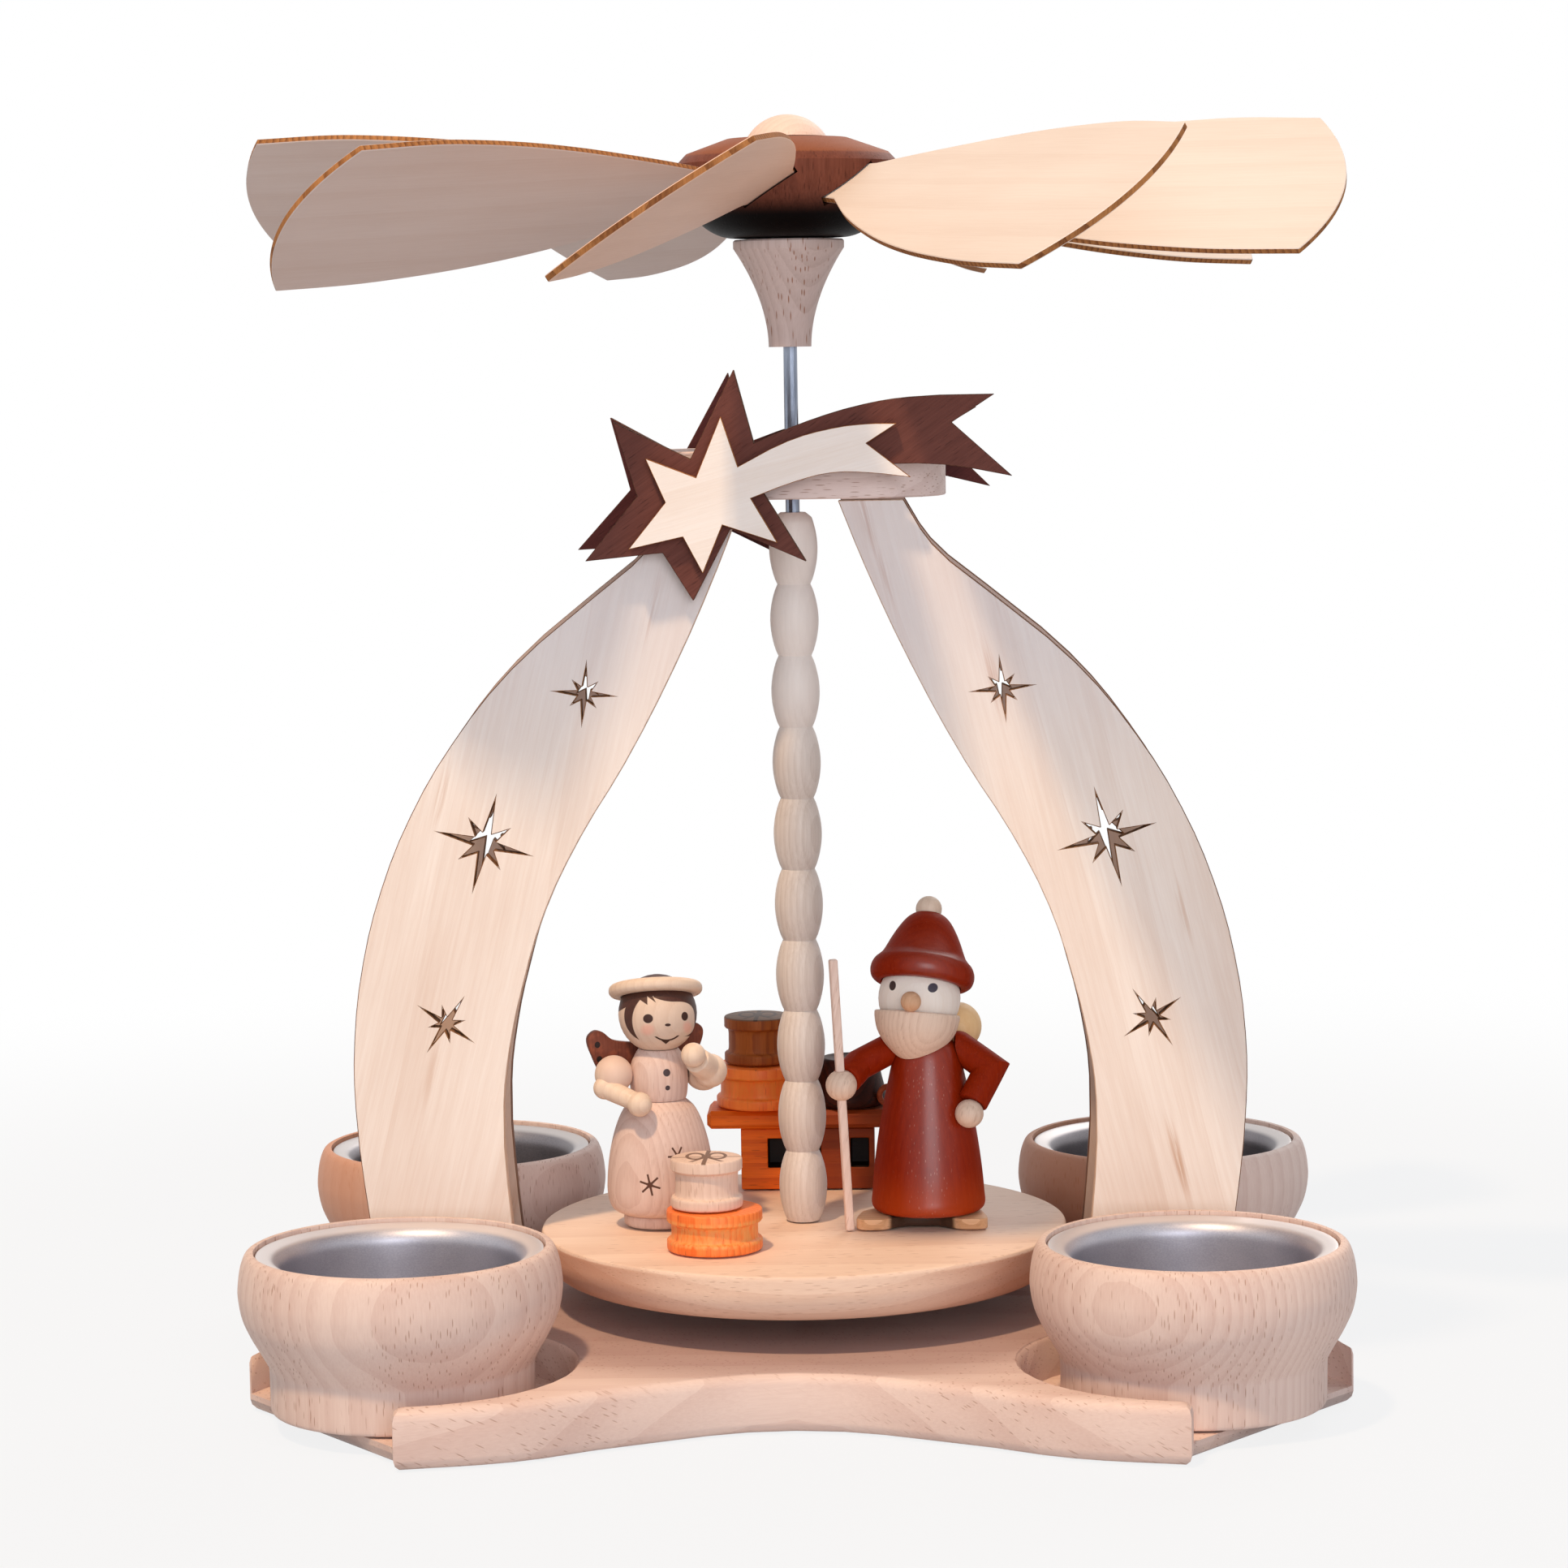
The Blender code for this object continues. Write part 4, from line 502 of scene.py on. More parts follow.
looks = {
    "cup_front_left": dict(beech, heart=(1, -257, 0)),
    "cup_front_right": dict(beech, heart=(-28, -244, 0), ringSpacing=1.7),
    # painted shade: the back cups turn reddish brown towards their outer sides, as shade with warm bounce
    # light
    "cup_back_left": dict(beech, heart=(90, -90, 0), paint=paintedShading(0, -70, -90, (0.56, 0.23, 0.11), 0.75)),
    "cup_back_right": dict(beech, heart=(-40, -60, 0), paint=paintedShading(0, 68, 50, (0.56, 0.23, 0.11), 0.75)),
    "board": dict(beech, heart=(0, 30, -70), grainTurn=(0, 87, 4), ringSpacing=6, fleckTurn=(0, 118, 4),
                  fleckCells=(1.9, 0.75, 0.2), fleckAmount=0.5, pale=(0.81, 0.64, 0.575),
                  deep=(0.64, 0.445, 0.39), paint=paintedTableShadow),
    "table": dict(beech, heart=(0, 10, -110), grainTurn=(0, 90, 3), ringSpacing=3.6, fleckAmount=0.3,
                  pale=(0.88, 0.68, 0.55), deep=(0.71, 0.48, 0.365), paint=shadedRimSides),
    "bar": dict(beech, heart=(0, 30, 90), grainTurn=(0, 90, 0), pale=(0.86, 0.71, 0.67),
                deep=(0.68, 0.51, 0.47)),
    "socket": dict(beech, heart=(40, -60, 0), ringSpacing=1.6, fleckAmount=0.95, fleckCells=(1.9, 0.8, 0.17),
                   fleckSize=0.3, pale=(0.7, 0.57, 0.54), deep=(0.5, 0.375, 0.34)),
    "knob": dict(maple, slot="pale_beech", heart=(30, -60, 0), pale=(0.9, 0.69, 0.6), deep=(0.73, 0.5, 0.41),
                 fleckAmount=0.5, fleck=(0.42, 0.19, 0.11)),
    # painted light: the column is painted paler towards its top, as lit there
    "column": dict(plainWood, slot="pale_beech", heart=(160, -96, 0), ringSpacing=1.1, ringWander=3,
                   ringAmount=0.25, shine=0.5, fibreAmount=1.1, broadAmount=1.1, broadScale=0.12,
                   roughness=0.4, pale=(0.71, 0.625, 0.57), deep=(0.51, 0.41, 0.35),
                   paint=paintedShading(2, 104, 126, (0.93, 0.86, 0.82), 0.7)),
    "leftArch": leftArch,
    "rightArch": rightArch,
    "leftBackArch": dict(leftArch, paint=layers(shadedTop, shadedBackFront)),
    "rightBackArch": dict(rightArch, paint=layers(shadedTop, shadedBackFront)),
    "blade": blade,
    "bladeShade": dict(blade, pale=(0.66, 0.575, 0.545), deep=(0.55, 0.425, 0.375)),
    # painted shade: the front blade is a darker, warmer copy of the birch, as shade with warm bounce light
    "bladeWarm": dict(blade, pale=(0.75, 0.535, 0.43), deep=(0.64, 0.42, 0.32)),
    "burnt": burnt,
    "scorch": dict(burnt, pale=(0.15, 0.062, 0.036), deep=(0.045, 0.017, 0.01)),
    "starRim": dict(burnt, pale=(0.32, 0.15, 0.062), deep=(0.095, 0.036, 0.014)),
    "rim": dict(burnt, pale=(0.72, 0.55, 0.44), deep=(0.5, 0.33, 0.23)),
    "outerRim": dict(burnt, pale=(0.28, 0.14, 0.08), deep=(0.11, 0.045, 0.024)),
    "walnut": dict(walnut, shine=0.05, paint=litBevelShadedBelow),
    "cometDark": darkComet,
    # painted shade: the rear comet's dark wood is darker still, as it stands in shade
    "cometRear": dict(darkComet, pale=(0.085, 0.022, 0.022), deep=(0.04, 0.009, 0.01)),
    "cometLight": dict(arch, slot="maple", paint=None, grainTurn=(0, 75, 0), streakAmount=0, fibreScale=3,
                       pale=(0.93, 0.87, 0.83), deep=(0.85, 0.75, 0.68)),
    "maple": maple,
    "sleeves": dict(maple, paint=pinkSleeve),
    "angelFace": dict(maple, pale=(0.77, 0.61, 0.5), deep=(0.63, 0.45, 0.34), paint=angelFace),
    # painted light: the giver's face is painted paler than the other maple, making up for the hat's shade on
    # it
    "santaFace": dict(maple, heart=(22, 40, 60), pale=(0.97, 0.89, 0.82), deep=(0.87, 0.75, 0.65),
                      paint=santaFace),
    "skirt": dict(dress, paint=skirtFlakes),
    "bust": dict(dress, paint=bustButtons),
    "wings": dict(walnut, slot="red_brown_paint", pale=(0.25, 0.075, 0.045), deep=(0.12, 0.03, 0.018),
                  heart=(-26, 60, 30), paint=wingDots),
    "beard": beard,
    "hands": dict(beard, slot="maple"),
    "nose": dict(beard, pale=(0.74, 0.44, 0.27), deep=(0.56, 0.29, 0.15)),
    "staff": dict(beard, pale=(0.95, 0.73, 0.63), deep=(0.76, 0.53, 0.43)),
    "redBrown": dict(plainWood, slot="red_brown_paint", heart=(23, -40, 0), ringSpacing=1.2, ringWander=4,
                     ringAmount=0.12, fibreAmount=0.9, broadAmount=0.9, fibreScale=3.4, roughness=0.5,
                     shine=0.06, relief=0.08, pale=(0.335, 0.025, 0.002), deep=(0.165, 0.005, 0),
                     paint=specksAndGlints),
    "sack": dict(maple, slot="pale_yellow", heart=(28, 40, 40), pale=(0.95, 0.66, 0.36),
                 deep=(0.84, 0.52, 0.23)),
    "frontBox": dict(beech, heart=(-34, -50, 0), ringSpacing=1, pale=(0.86, 0.66, 0.56),
                     deep=(0.62, 0.41, 0.31), fleckAmount=0.4, ringAmount=0.16, fibreAmount=0.55,
                     paint=ribbonTop("gift_box_front", (0.13, 0.055, 0.025), 0)),
    "orange": dict(orange, paint=wornWaist("gift_drum_front", (0.8, 0.4, 0.12))),
    # painted light: the rear drum is a brighter, redder copy of the orange stain, standing in for light that
    # the fan's shadow takes away
    "rearDrum": dict(orange, pale=(1, 0.24, 0.03), deep=(0.86, 0.12, 0.008),
                     paint=wornWaist("gift_drum_rear", (0.84, 0.22, 0.02))),
    "rearBox": dict(rust, grainTurn=(0, 0, 0), pale=(0.4, 0.105, 0.014), deep=(0.2, 0.035, 0.004),
                    paint=ribbonTop("gift_box_rear", (0.05, 0.02, 0.012), 0.8)),
    # painted shadow: the stand and the sledge board darken to the right of the column, where the figures'
    # shadow falls
    "stand": dict(rust, paint=layers(paintedShading(0, -3, 3, (0.13, 0.014, 0.002), 0.85), shadedWindows)),
    "sledgeBoard": dict(rust, paint=paintedShading(0, -3, 3, (0.15, 0.018, 0.002), 0.8)),
    "shoes": dict(rust, pale=(0.86, 0.53, 0.31), deep=(0.56, 0.27, 0.12), fleck=(0.2, 0.08, 0.03),
                  paint=shadedMiddle),
    # painted shade: the basket is stained near black, as the deep shade it stands in
    "basket": dict(rust, pale=(0.05, 0.008, 0.003), deep=(0.012, 0.002, 0.001), shine=0.15),
    "handle": dict(rust, pale=(0.42, 0.1, 0.035), deep=(0.22, 0.03, 0.008)),
}
aluminium = {"slot": "satin_aluminium", "stretch": (1, 1, 1.6), "scale": 3, "roughness": 0.38,
             "dark": (0.33, 0.325, 0.375), "light": (0.5, 0.485, 0.53), "rim": (0.8, 0.74, 0.72)}
metalLooks = {
    "aluminium": aluminium,
    # painted shade: the back trays are a darker copy of the aluminium, as they stand in shade
    "backTray": dict(aluminium, dark=(0.16, 0.15, 0.165), light=(0.27, 0.25, 0.265), rim=(0.56, 0.52, 0.51)),
    "steel": {"slot": "steel", "stretch": (1, 1, 0.05), "scale": 6, "roughness": 0.22,
              "dark": (0.14, 0.16, 0.21), "light": (0.34, 0.38, 0.47)},
}
finishes = {name: wood(name, look) for name, look in looks.items()}
finishes.update({name: metal(name, look) for name, look in metalLooks.items()})
print("finishes made:", len(finishes))


# Modelling helpers
def flow(points, spans=5):  # a smooth line through points; a third entry marks a corner
    line = []
    for index in range(len(points) - 1):
        start = Vector(points[index][:2])
        end = Vector(points[index + 1][:2])
        isCornered = len(points[index]) == 3, len(points[index + 1]) == 3
        if all(isCornered):
            line.append(start)
            continue
        before = start if isCornered[0] or index == 0 else Vector(points[index - 1][:2])
        after = end if isCornered[1] or index + 2 == len(points) else Vector(points[index + 2][:2])
        length = (end - start).length
        leave = (end - before) * length / ((start - before).length + length)
        arrive = (after - start) * length / ((after - end).length + length)
        for step in range(spans):
            t = step / spans
            line.append(start * (2 * t ** 3 - 3 * t ** 2 + 1) + leave * (t ** 3 - 2 * t ** 2 + t)
                        + end * (3 * t ** 2 - 2 * t ** 3) + arrive * (t ** 3 - t ** 2))
    line.append(Vector(points[-1][:2]))
    return [(point.x, point.y) for point in line]


def alone(piece):
    bpy.ops.object.select_all(action="DESELECT")
    piece.select_set(True)
    bpy.context.view_layer.objects.active = piece
    return piece


def editAll():  # edit mode with everything selected
    bpy.ops.object.mode_set(mode="EDIT")
    bpy.ops.mesh.select_all(action="SELECT")


def leaveEdit():
    bpy.ops.object.mode_set(mode="OBJECT")


def named(piece, name):
    piece.name = name
    piece.data.name = name
    return piece


def smooth(piece, angle):  # faces that meet at less than the angle shade as one
    alone(piece)
    bpy.ops.object.shade_smooth_by_angle(angle=math.radians(angle))
    return piece


def startLine(name, points):  # a vertex, extruded from point to point; stays in edit mode
    bpy.ops.object.select_all(action="DESELECT")
    bpy.ops.mesh.primitive_plane_add(size=mm)
    piece = named(bpy.context.object, name)
    editAll()
    bpy.ops.mesh.merge(type="CENTER")
    bpy.ops.transform.translate(value=Vector(points[0]) * mm)
    for before, after in zip(points, points[1:]):
        step = (Vector(after) - Vector(before)) * mm
        bpy.ops.mesh.extrude_vertices_move(TRANSFORM_OT_translate={"value": step})
    return piece


def closed(piece):
    bpy.ops.mesh.select_all(action="SELECT")
    bpy.ops.mesh.remove_doubles(threshold=0.004 * mm)
    bpy.ops.mesh.normals_make_consistent(inside=False)
    leaveEdit()
    return piece


def lathe(name, profile, steps=72, isRing=False):  # radius and height, spun round the Z axis
    piece = startLine(name, [(radius, 0, height) for radius, height in profile])
    if isRing:  # the line's two ends are joined
        leaveEdit()
        for edge in piece.data.edges:
            edge.select = False
        for vertex in piece.data.vertices:
            vertex.select = vertex.index in (0, len(profile) - 1)
        bpy.ops.object.mode_set(mode="EDIT")
        bpy.ops.mesh.edge_face_add()
    bpy.ops.mesh.select_all(action="SELECT")
    bpy.ops.mesh.spin(steps=steps, angle=2 * math.pi, center=(0, 0, 0), axis=(0, 0, 1))
    return smooth(closed(piece), 38)


def plate(name, outline, thickness):  # a flat outline, filled and extruded, its middle at height 0
    piece = startLine(name, [(x, y, -thickness / 2) for x, y in outline])
    bpy.ops.mesh.select_all(action="SELECT")
    bpy.ops.mesh.edge_face_add()
    bpy.ops.mesh.select_all(action="SELECT")
    bpy.ops.mesh.extrude_region_move(TRANSFORM_OT_translate={"value": (0, 0, thickness * mm)})
    return closed(piece)


def settle(piece, place=(0, 0, 0), turn=(0, 0, 0), matrix=None):  # bakes a place in the mesh
    alone(piece)
    if matrix is None:
        matrix = Matrix.Translation(Vector(place) * mm)
        for angle, axis in zip(turn[::-1], "ZYX"):
            matrix = matrix @ Matrix.Rotation(math.radians(angle), 4, axis)
    piece.matrix_world = matrix
    bpy.ops.object.transform_apply(location=True, rotation=True, scale=True)
    return piece


def another(piece, name):
    alone(piece)
    bpy.ops.object.duplicate()
    return named(bpy.context.object, name)


def modify(piece, kind, **settings):
    alone(piece)
    modifier = piece.modifiers.new(kind.title(), kind)
    for key, value in settings.items():
        setattr(modifier, key, value)
    bpy.ops.object.modifier_apply(modifier=modifier.name)
    return piece


def carve(piece, cutter, operation="DIFFERENCE"):
    modify(piece, "BOOLEAN", object=cutter, operation=operation, solver="EXACT")
    bpy.data.objects.remove(cutter)
    return piece


def soften(piece, width, segments, angle, smoothing=38):  # a width of 0 only smooths
    if width:
        modify(piece, "BEVEL", width=width * mm, segments=segments, limit_method="ANGLE",
               angle_limit=math.radians(angle), harden_normals=False)
    return smooth(piece, smoothing)


def sawOff(piece, place, way):  # takes away what lies beyond a plane
    alone(piece)
    editAll()
    bpy.ops.mesh.bisect(plane_co=place * mm, plane_no=way, use_fill=True, clear_outer=True)
    leaveEdit()


def adopt(piece, look, node=None):  # dresses a piece and puts it in its node's place; a hand has no node
    names = [look] if isinstance(look, str) else look
    piece.data.materials.clear()
    for name in names:
        piece.data.materials.append(finishes[name])
    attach(piece, frame["nodes"][node]["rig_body"] if node else "rotor")
    if node:
        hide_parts(node)


def turned(name, profile, steps, look, node, place=(0, 0, 0), tilt=(0, 0, 0), isRing=False):
    adopt(settle(lathe(name, profile, steps, isRing), place, tilt), look, node)


def ball(name, radius, place, steps=40, arcs=16, flat=0.02):  # with a small flat at its ends
    profile = [(0, radius - flat)]
    start = math.acos(1 - flat / radius)
    for step in range(arcs + 1):
        angle = start + (math.pi - 2 * start) * step / arcs
        profile.append((max(radius * math.sin(angle), 0), radius * math.cos(angle)))
    profile.append((0, flat - radius))
    return settle(lathe(name, profile, steps), place)


def along(place, way):  # the matrix that turns a piece's Z axis to a way
    return Matrix.Translation(place * mm) @ way.to_track_quat("Z", "Y").to_matrix().to_4x4()


def rodBetween(name, start, end, startRadius, endRadius, steps=32):
    start = Vector(start)
    end = Vector(end)
    length = (end - start).length
    profile = [(0, 0, 1), (startRadius - 0.2, 0), (startRadius, 0.3), (endRadius, length - 0.3),
               (endRadius - 0.2, length), (0, length, 1)]
    return settle(lathe(name, flow(profile, 3), steps), matrix=along(start, end - start))


def shifted(place, *steps):
    return tuple(start + step for start, step in zip(place, steps))


# Pieces that keep their solids
plainNodes = {"pivot_bearing": "steel", "shaft": "steel"}
for node, finish in plainNodes.items():
    frame["nodes"][node].data.materials.clear()
    frame["nodes"][node].data.materials.append(finishes[finish])
print("solids dressed:", len(plainNodes))


# Sawn pieces: the solid's own outline with eased, smoothly shaded edges
sawnPieces = {  # node: finish, the edges' finish, ease in millimetres
    "base_board": ("board", "board", 0), "crossbar": ("bar", "bar", 0.25),
    "arch_left_front": ("leftArch", "starRim", 0.16), "arch_left_back": ("leftBackArch", "starRim", 0.16),
    "arch_right_front": ("rightArch", "starRim", 0.16), "arch_right_back": ("rightBackArch", "starRim", 0.16),
    "comet_front_dark": ("cometDark", "scorch", 0.12), "comet_back_dark": ("cometRear", "scorch", 0.12),
    "comet_front_light": ("cometLight", "burnt", 0.1), "comet_back_light": ("cometLight", "burnt", 0.1),
    "sledge_board": ("sledgeBoard", "sledgeBoard", 0.2), "sledge_stand": ("stand", "stand", 0.2),
}


def sawn(node, finish, edgeFinish, ease):
    piece = another(frame["nodes"][node], node + "_sawn")
    editAll()
    bpy.ops.mesh.remove_doubles(threshold=0.002 * mm)
    bpy.ops.mesh.dissolve_limited(angle_limit=math.radians(0.5))
    leaveEdit()
    soften(piece, ease, 1, 55, 32)
    adopt(piece, (finish, edgeFinish), node)
    if edgeFinish != finish:
        for face in piece.data.polygons:
            face.material_index = int(abs(face.normal.y) < 0.95)
    return piece


def outlineFaces(piece):  # the edge faces of a plate's outer outline, without those of its cut-outs
    edges = [face for face in piece.data.polygons if face.material_index == 1]
    group = {vertex: vertex for face in edges for vertex in face.vertices}

    def leader(vertex):
        while group[vertex] != vertex:
            vertex = group[vertex]
        return vertex

    for face in edges:
        first = leader(face.vertices[0])
        for vertex in face.vertices[1:]:
            group[leader(vertex)] = first
    outline = leader(min(group, key=lambda vertex: piece.data.vertices[vertex].co.z))
    return [face for face in edges if leader(face.vertices[0]) == outline]


for node, (finish, edgeFinish, ease) in sawnPieces.items():
    piece = sawn(node, finish, edgeFinish, ease)
    if node.startswith("arch_"):
        piece.data.materials.append(finishes["rim"])
        piece.data.materials.append(finishes["outerRim"])
        outward = -1 if "left" in node else 1
        for face in outlineFaces(piece):
            face.material_index = 3 if face.normal.x * outward > 0 or "back" in node else 2
print("sawn pieces made:", len(sawnPieces))


# Candle cups and trays
cupShape = {
    "foot": 22.9, "waist": 23.1, "waistHeight": 8, "belly": 28.1, "bellyHeight": 20.5, "rim": 25.9,
    "lip": 25.3, "seat": 26.4, "bore": 23.2, "boreFloor": 12.1, "height": 28,
}
trayShape = {"flange": 25, "opening": 20.8, "depth": 14.3, "wall": 0.6}


def cupProfile(foot, waist, waistHeight, belly, bellyHeight, rim, lip, seat, bore, boreFloor, height):
    outer = [(0, 0, 1), (foot - 0.8, 0, 1), (foot - 0.2, 0.2), (foot, 0.9), (foot + 0.05, 4),
             (waist - 0.1, waistHeight - 0.9)]
    for share in (0, 0.1, 0.25, 0.45, 0.7):
        swell = math.sin(share * math.pi / 2) ** 1.15
        outer.append((waist + (belly - waist) * swell, waistHeight + (bellyHeight - waistHeight) * share))
    for angle in (0, 20, 40, 58, 72):
        turn = math.radians(angle)
        outer.append((rim + (belly - rim) * math.cos(turn),
                      bellyHeight + (height - bellyHeight) * math.sin(turn)))
    outer += [(rim, height, 1), (lip, height - 0.1, 1), (lip, seat, 1), (bore, seat, 1), (bore, boreFloor, 1),
              (0, boreFloor, 1)]
    return flow(outer, 4)


def trayProfile(flange, opening, depth, wall):  # height 0 is the flange's top
    return flow([
        (0, -depth, 1), (opening - 3, -depth), (opening - 0.9, -depth + 0.8), (opening - 0.2, -depth + 2.8),
        (opening, -3.6), (opening + 0.25, -2.1), (opening + 1.2, -0.85), (opening + 2.6, -0.3),
        (flange - 0.3, 0), (flange, -0.15), (flange, -wall + 0.1), (flange - 0.4, -wall),
        (opening + 2.4, -wall - 0.3),
        (opening + 1.3, -wall - 1), (opening + wall, -3.4), (opening + wall - 0.1, -depth + 1.5),
        (opening - 1.2, -depth - wall * 0.8), (opening - 3.4, -depth - wall), (0, -depth - wall, 1)], 4)


cupMaster = lathe("cupMaster", cupProfile(**cupShape), 112)
trayMaster = lathe("trayMaster", trayProfile(**trayShape), 112)
for corner in ("front_left", "front_right", "back_left", "back_right"):
    x, y, z = middleOf("candle_cup_" + corner)
    cup = settle(another(cupMaster, "cup_wood_" + corner), (x, y, boxOf("candle_cup_" + corner)[0][2]))
    adopt(cup, "cup_" + corner, "candle_cup_" + corner)
    tray = settle(another(trayMaster, "tray_metal_" + corner), (x, y, boxOf("candle_tray_" + corner)[1][2]))
    adopt(tray, "backTray" if "back" in corner else "aluminium", "candle_tray_" + corner)
for master in (cupMaster, trayMaster):
    bpy.data.objects.remove(master)
print("cups and trays turned")


# Turntable and column
tableShape = {"bore": 1.6, "rim": 3, "bottomRadius": 42, "ease": 0.7}
columnShape = {"beads": 10, "bead": 4.4, "neck": 3, "bore": 1.6, "topStep": 0.7}


def tableProfile(bore, rim, bottomRadius, ease):
    low, high = boxOf("turntable")
    radius = (high[0] - low[0]) / 2
    bottom = low[2]
    top = high[2]
    profile = [(bore, top, 1), (radius - ease, top, 1), (radius - ease * 0.3, top - ease * 0.25),
               (radius, top - ease, 1), (radius, top - rim + 0.3)]
    for angle in (8, 22, 38, 55, 70, 82):
        turn = math.radians(angle)
        profile.append((radius - (radius - bottomRadius) * (1 - math.cos(turn)),
                        top - rim - (top - bottom - rim) * math.sin(turn)))
    return flow(profile + [(bottomRadius - 0.6, bottom, 1), (bore, bottom, 1)], 4)


def columnProfile(beads, bead, neck, bore, topStep):
    low, high = boxOf("column")
    length = (high[2] - low[2]) / beads
    profile = [(bore, high[2]), (neck - topStep, high[2])]
    for step in range(1, beads * 14):
        swell = math.sin(step % 14 / 14 * math.pi) ** 0.8
        profile.append((neck + (bead - neck) * swell, high[2] - (step // 14 + step % 14 / 14) * length))
    return profile + [(neck, low[2]), (bore, low[2])]


turned("turntable_disc", tableProfile(**tableShape), 160, "table", "turntable", isRing=True)
turned("column_beads", columnProfile(**columnShape), 64, "column", "column", isRing=True)
print("turntable and column turned")


# Fan
hubShape = {"top": 10.9, "shoulder": 18.2, "shoulderHeight": 15.1, "widest": 19.9, "widestHeight": 13.3,
            "foot": 9.6}
bladeShape = {
    "upper": [(13.5, 5.4, 1), (21, 6, 1), (30, 8.7), (40, 11.4), (50, 13.9), (60, 15.9), (70, 17.3), (80, 18),
              (94.1, 17.3, 1)],
    "lower": [(13.5, -4.4, 1), (21, -5.2, 1), (30, -10.2), (40, -14.5), (50, -17.9), (60, -20.4), (70, -22.1),
              (80, -23.2), (94.1, -23.6, 1)],
    "tip": 100.3,
}
fanShape = {
    "thickness": 1.2, "pitch": 33.8, "firstAzimuth": -54.2, "axisHeight": 9.5,
    "slotMiddle": (19.6, 0.4, 0), "slotSize": (12.8, 11.8, 1.8),
    # Each blade's finish, swing, added pitch and droop
    "blades": [("blade", 0.6, 0.3, 2.2), ("blade", -2, 1.6, 0.3), ("blade", 1.9, 1, 0.6),
               ("blade", -1.4, 0.3, 0.8), ("bladeShade", 0, 0, 1), ("bladeShade", 1.8, -0.4, 0.2),
               ("bladeShade", 0.1, -0.7, 2.9), ("bladeWarm", -0.8, -2.1, 3.2)],
}
knobShape = {"radius": 7.1, "height": 4}
socketShape = {"top": 10, "foot": 3.85, "band": 1.5, "bore": 1.6, "boreDepth": 12}


def hubProfile(top, shoulder, shoulderHeight, widest, widestHeight, foot):
    low, high = boxOf("fan_hub")
    profile = [(0, high[2], 1), (top, high[2], 1), (shoulder, low[2] + shoulderHeight, 1),
               (widest, low[2] + widestHeight, 1)]
    for angle in (7, 15, 25, 36, 48, 60, 72, 82):
        turn = math.radians(angle)
        profile.append((foot + (widest - foot) * math.cos(turn),
                        low[2] + widestHeight * (1 - math.sin(turn))))
    return flow(profile + [(foot, low[2], 1), (0, low[2], 1)], 3)


def bladeOutline(upper, lower, tip):
    corner, top, bottom = upper[-1][0], upper[-1][1], lower[-1][1]
    end = []
    for step in range(1, 24):
        share = step / 24
        bow = 1 - (2 * share - 1) ** 2
        end.append((corner + (tip - corner) * bow, top - (top - bottom) * share))
    return flow(upper, 5) + end + flow(lower, 5)[::-1]


def bladeMatrix(index, swing, addedPitch, droop):
    azimuth = fanShape["firstAzimuth"] + index * 45 + swing
    turns = ((azimuth, "Z"), (droop, "Y"), (fanShape["pitch"] + addedPitch, "X"))
    matrix = Matrix.Translation((0, 0, (boxOf("fan_hub")[0][2] + fanShape["axisHeight"]) * mm))
    for angle, axis in turns:
        matrix = matrix @ Matrix.Rotation(math.radians(angle), 4, axis)
    return matrix


def knobProfile(radius, height):  # a slice of a ball
    low, high = boxOf("fan_knob")
    ballRadius = (radius ** 2 + height ** 2) / (2 * height)
    widest = math.asin(radius / ballRadius)
    profile = []
    for step in range(17):
        angle = widest * step / 16
        profile.append((ballRadius * math.sin(angle), high[2] - ballRadius * (1 - math.cos(angle))))
    return profile + [(0, low[2])]


def socketProfile(top, foot, band, bore, boreDepth):
    low, high = boxOf("fan_socket")
    profile = [(0, high[2], 1), (top - 0.3, high[2], 1), (top, high[2] - 0.3, 1), (top, high[2] - band, 1)]
    for step in range(1, 13):
        share = step / 12
        profile.append((foot + (top - foot) * (1 - share) ** 1.9,
                        high[2] - band - (high[2] - low[2] - band) * share))
    profile[-1] = (*profile[-1], 1)
    boreTop = low[2] + boreDepth
    return flow(profile + [(bore, low[2], 1), (bore, boreTop, 1), (0, boreTop, 1)], 3)


hub = lathe("hub_turned", hubProfile(**hubShape), 96)
bladeMaster = plate("bladeMaster", bladeOutline(**bladeShape), fanShape["thickness"])
soften(bladeMaster, 0.14, 1, 60)
for index, (finish, *setting) in enumerate(fanShape["blades"]):
    blade = another(bladeMaster, "blade_ply_%d" % (index + 1))
    flat = blade.data.uv_layers[0] if blade.data.uv_layers else blade.data.uv_layers.new(name="UVMap")
    for loop in blade.data.loops:
        point = blade.data.vertices[loop.vertex_index].co / mm
        flat.data[loop.index].uv = (point.x / 100 + index * 1.7, point.y / 100 + index * 0.6)
    isRim = [abs(face.normal.z) < 0.5 for face in blade.data.polygons]
    matrix = bladeMatrix(index, *setting)
    settle(blade, matrix=matrix)
    adopt(blade, (finish, "burnt"), "fan_blade_%d" % (index + 1))
    for face, rim in zip(blade.data.polygons, isRim):
        face.material_index = int(rim)
    bpy.ops.object.select_all(action="DESELECT")
    bpy.ops.mesh.primitive_cube_add(size=1)
    slot = bpy.context.object
    slot.matrix_world = (matrix @ Matrix.Translation(Vector(fanShape["slotMiddle"]) * mm)
                         @ Matrix.Diagonal((*(Vector(fanShape["slotSize"]) * mm), 1)))
    carve(hub, slot)
bpy.data.objects.remove(bladeMaster)
adopt(smooth(hub, 30), "walnut", "fan_hub")
turned("knob_turned", knobProfile(**knobShape), 64, "knob", "fan_knob")
turned("socket_turned", socketProfile(**socketShape), 80, "socket", "fan_socket")
print("fan made")


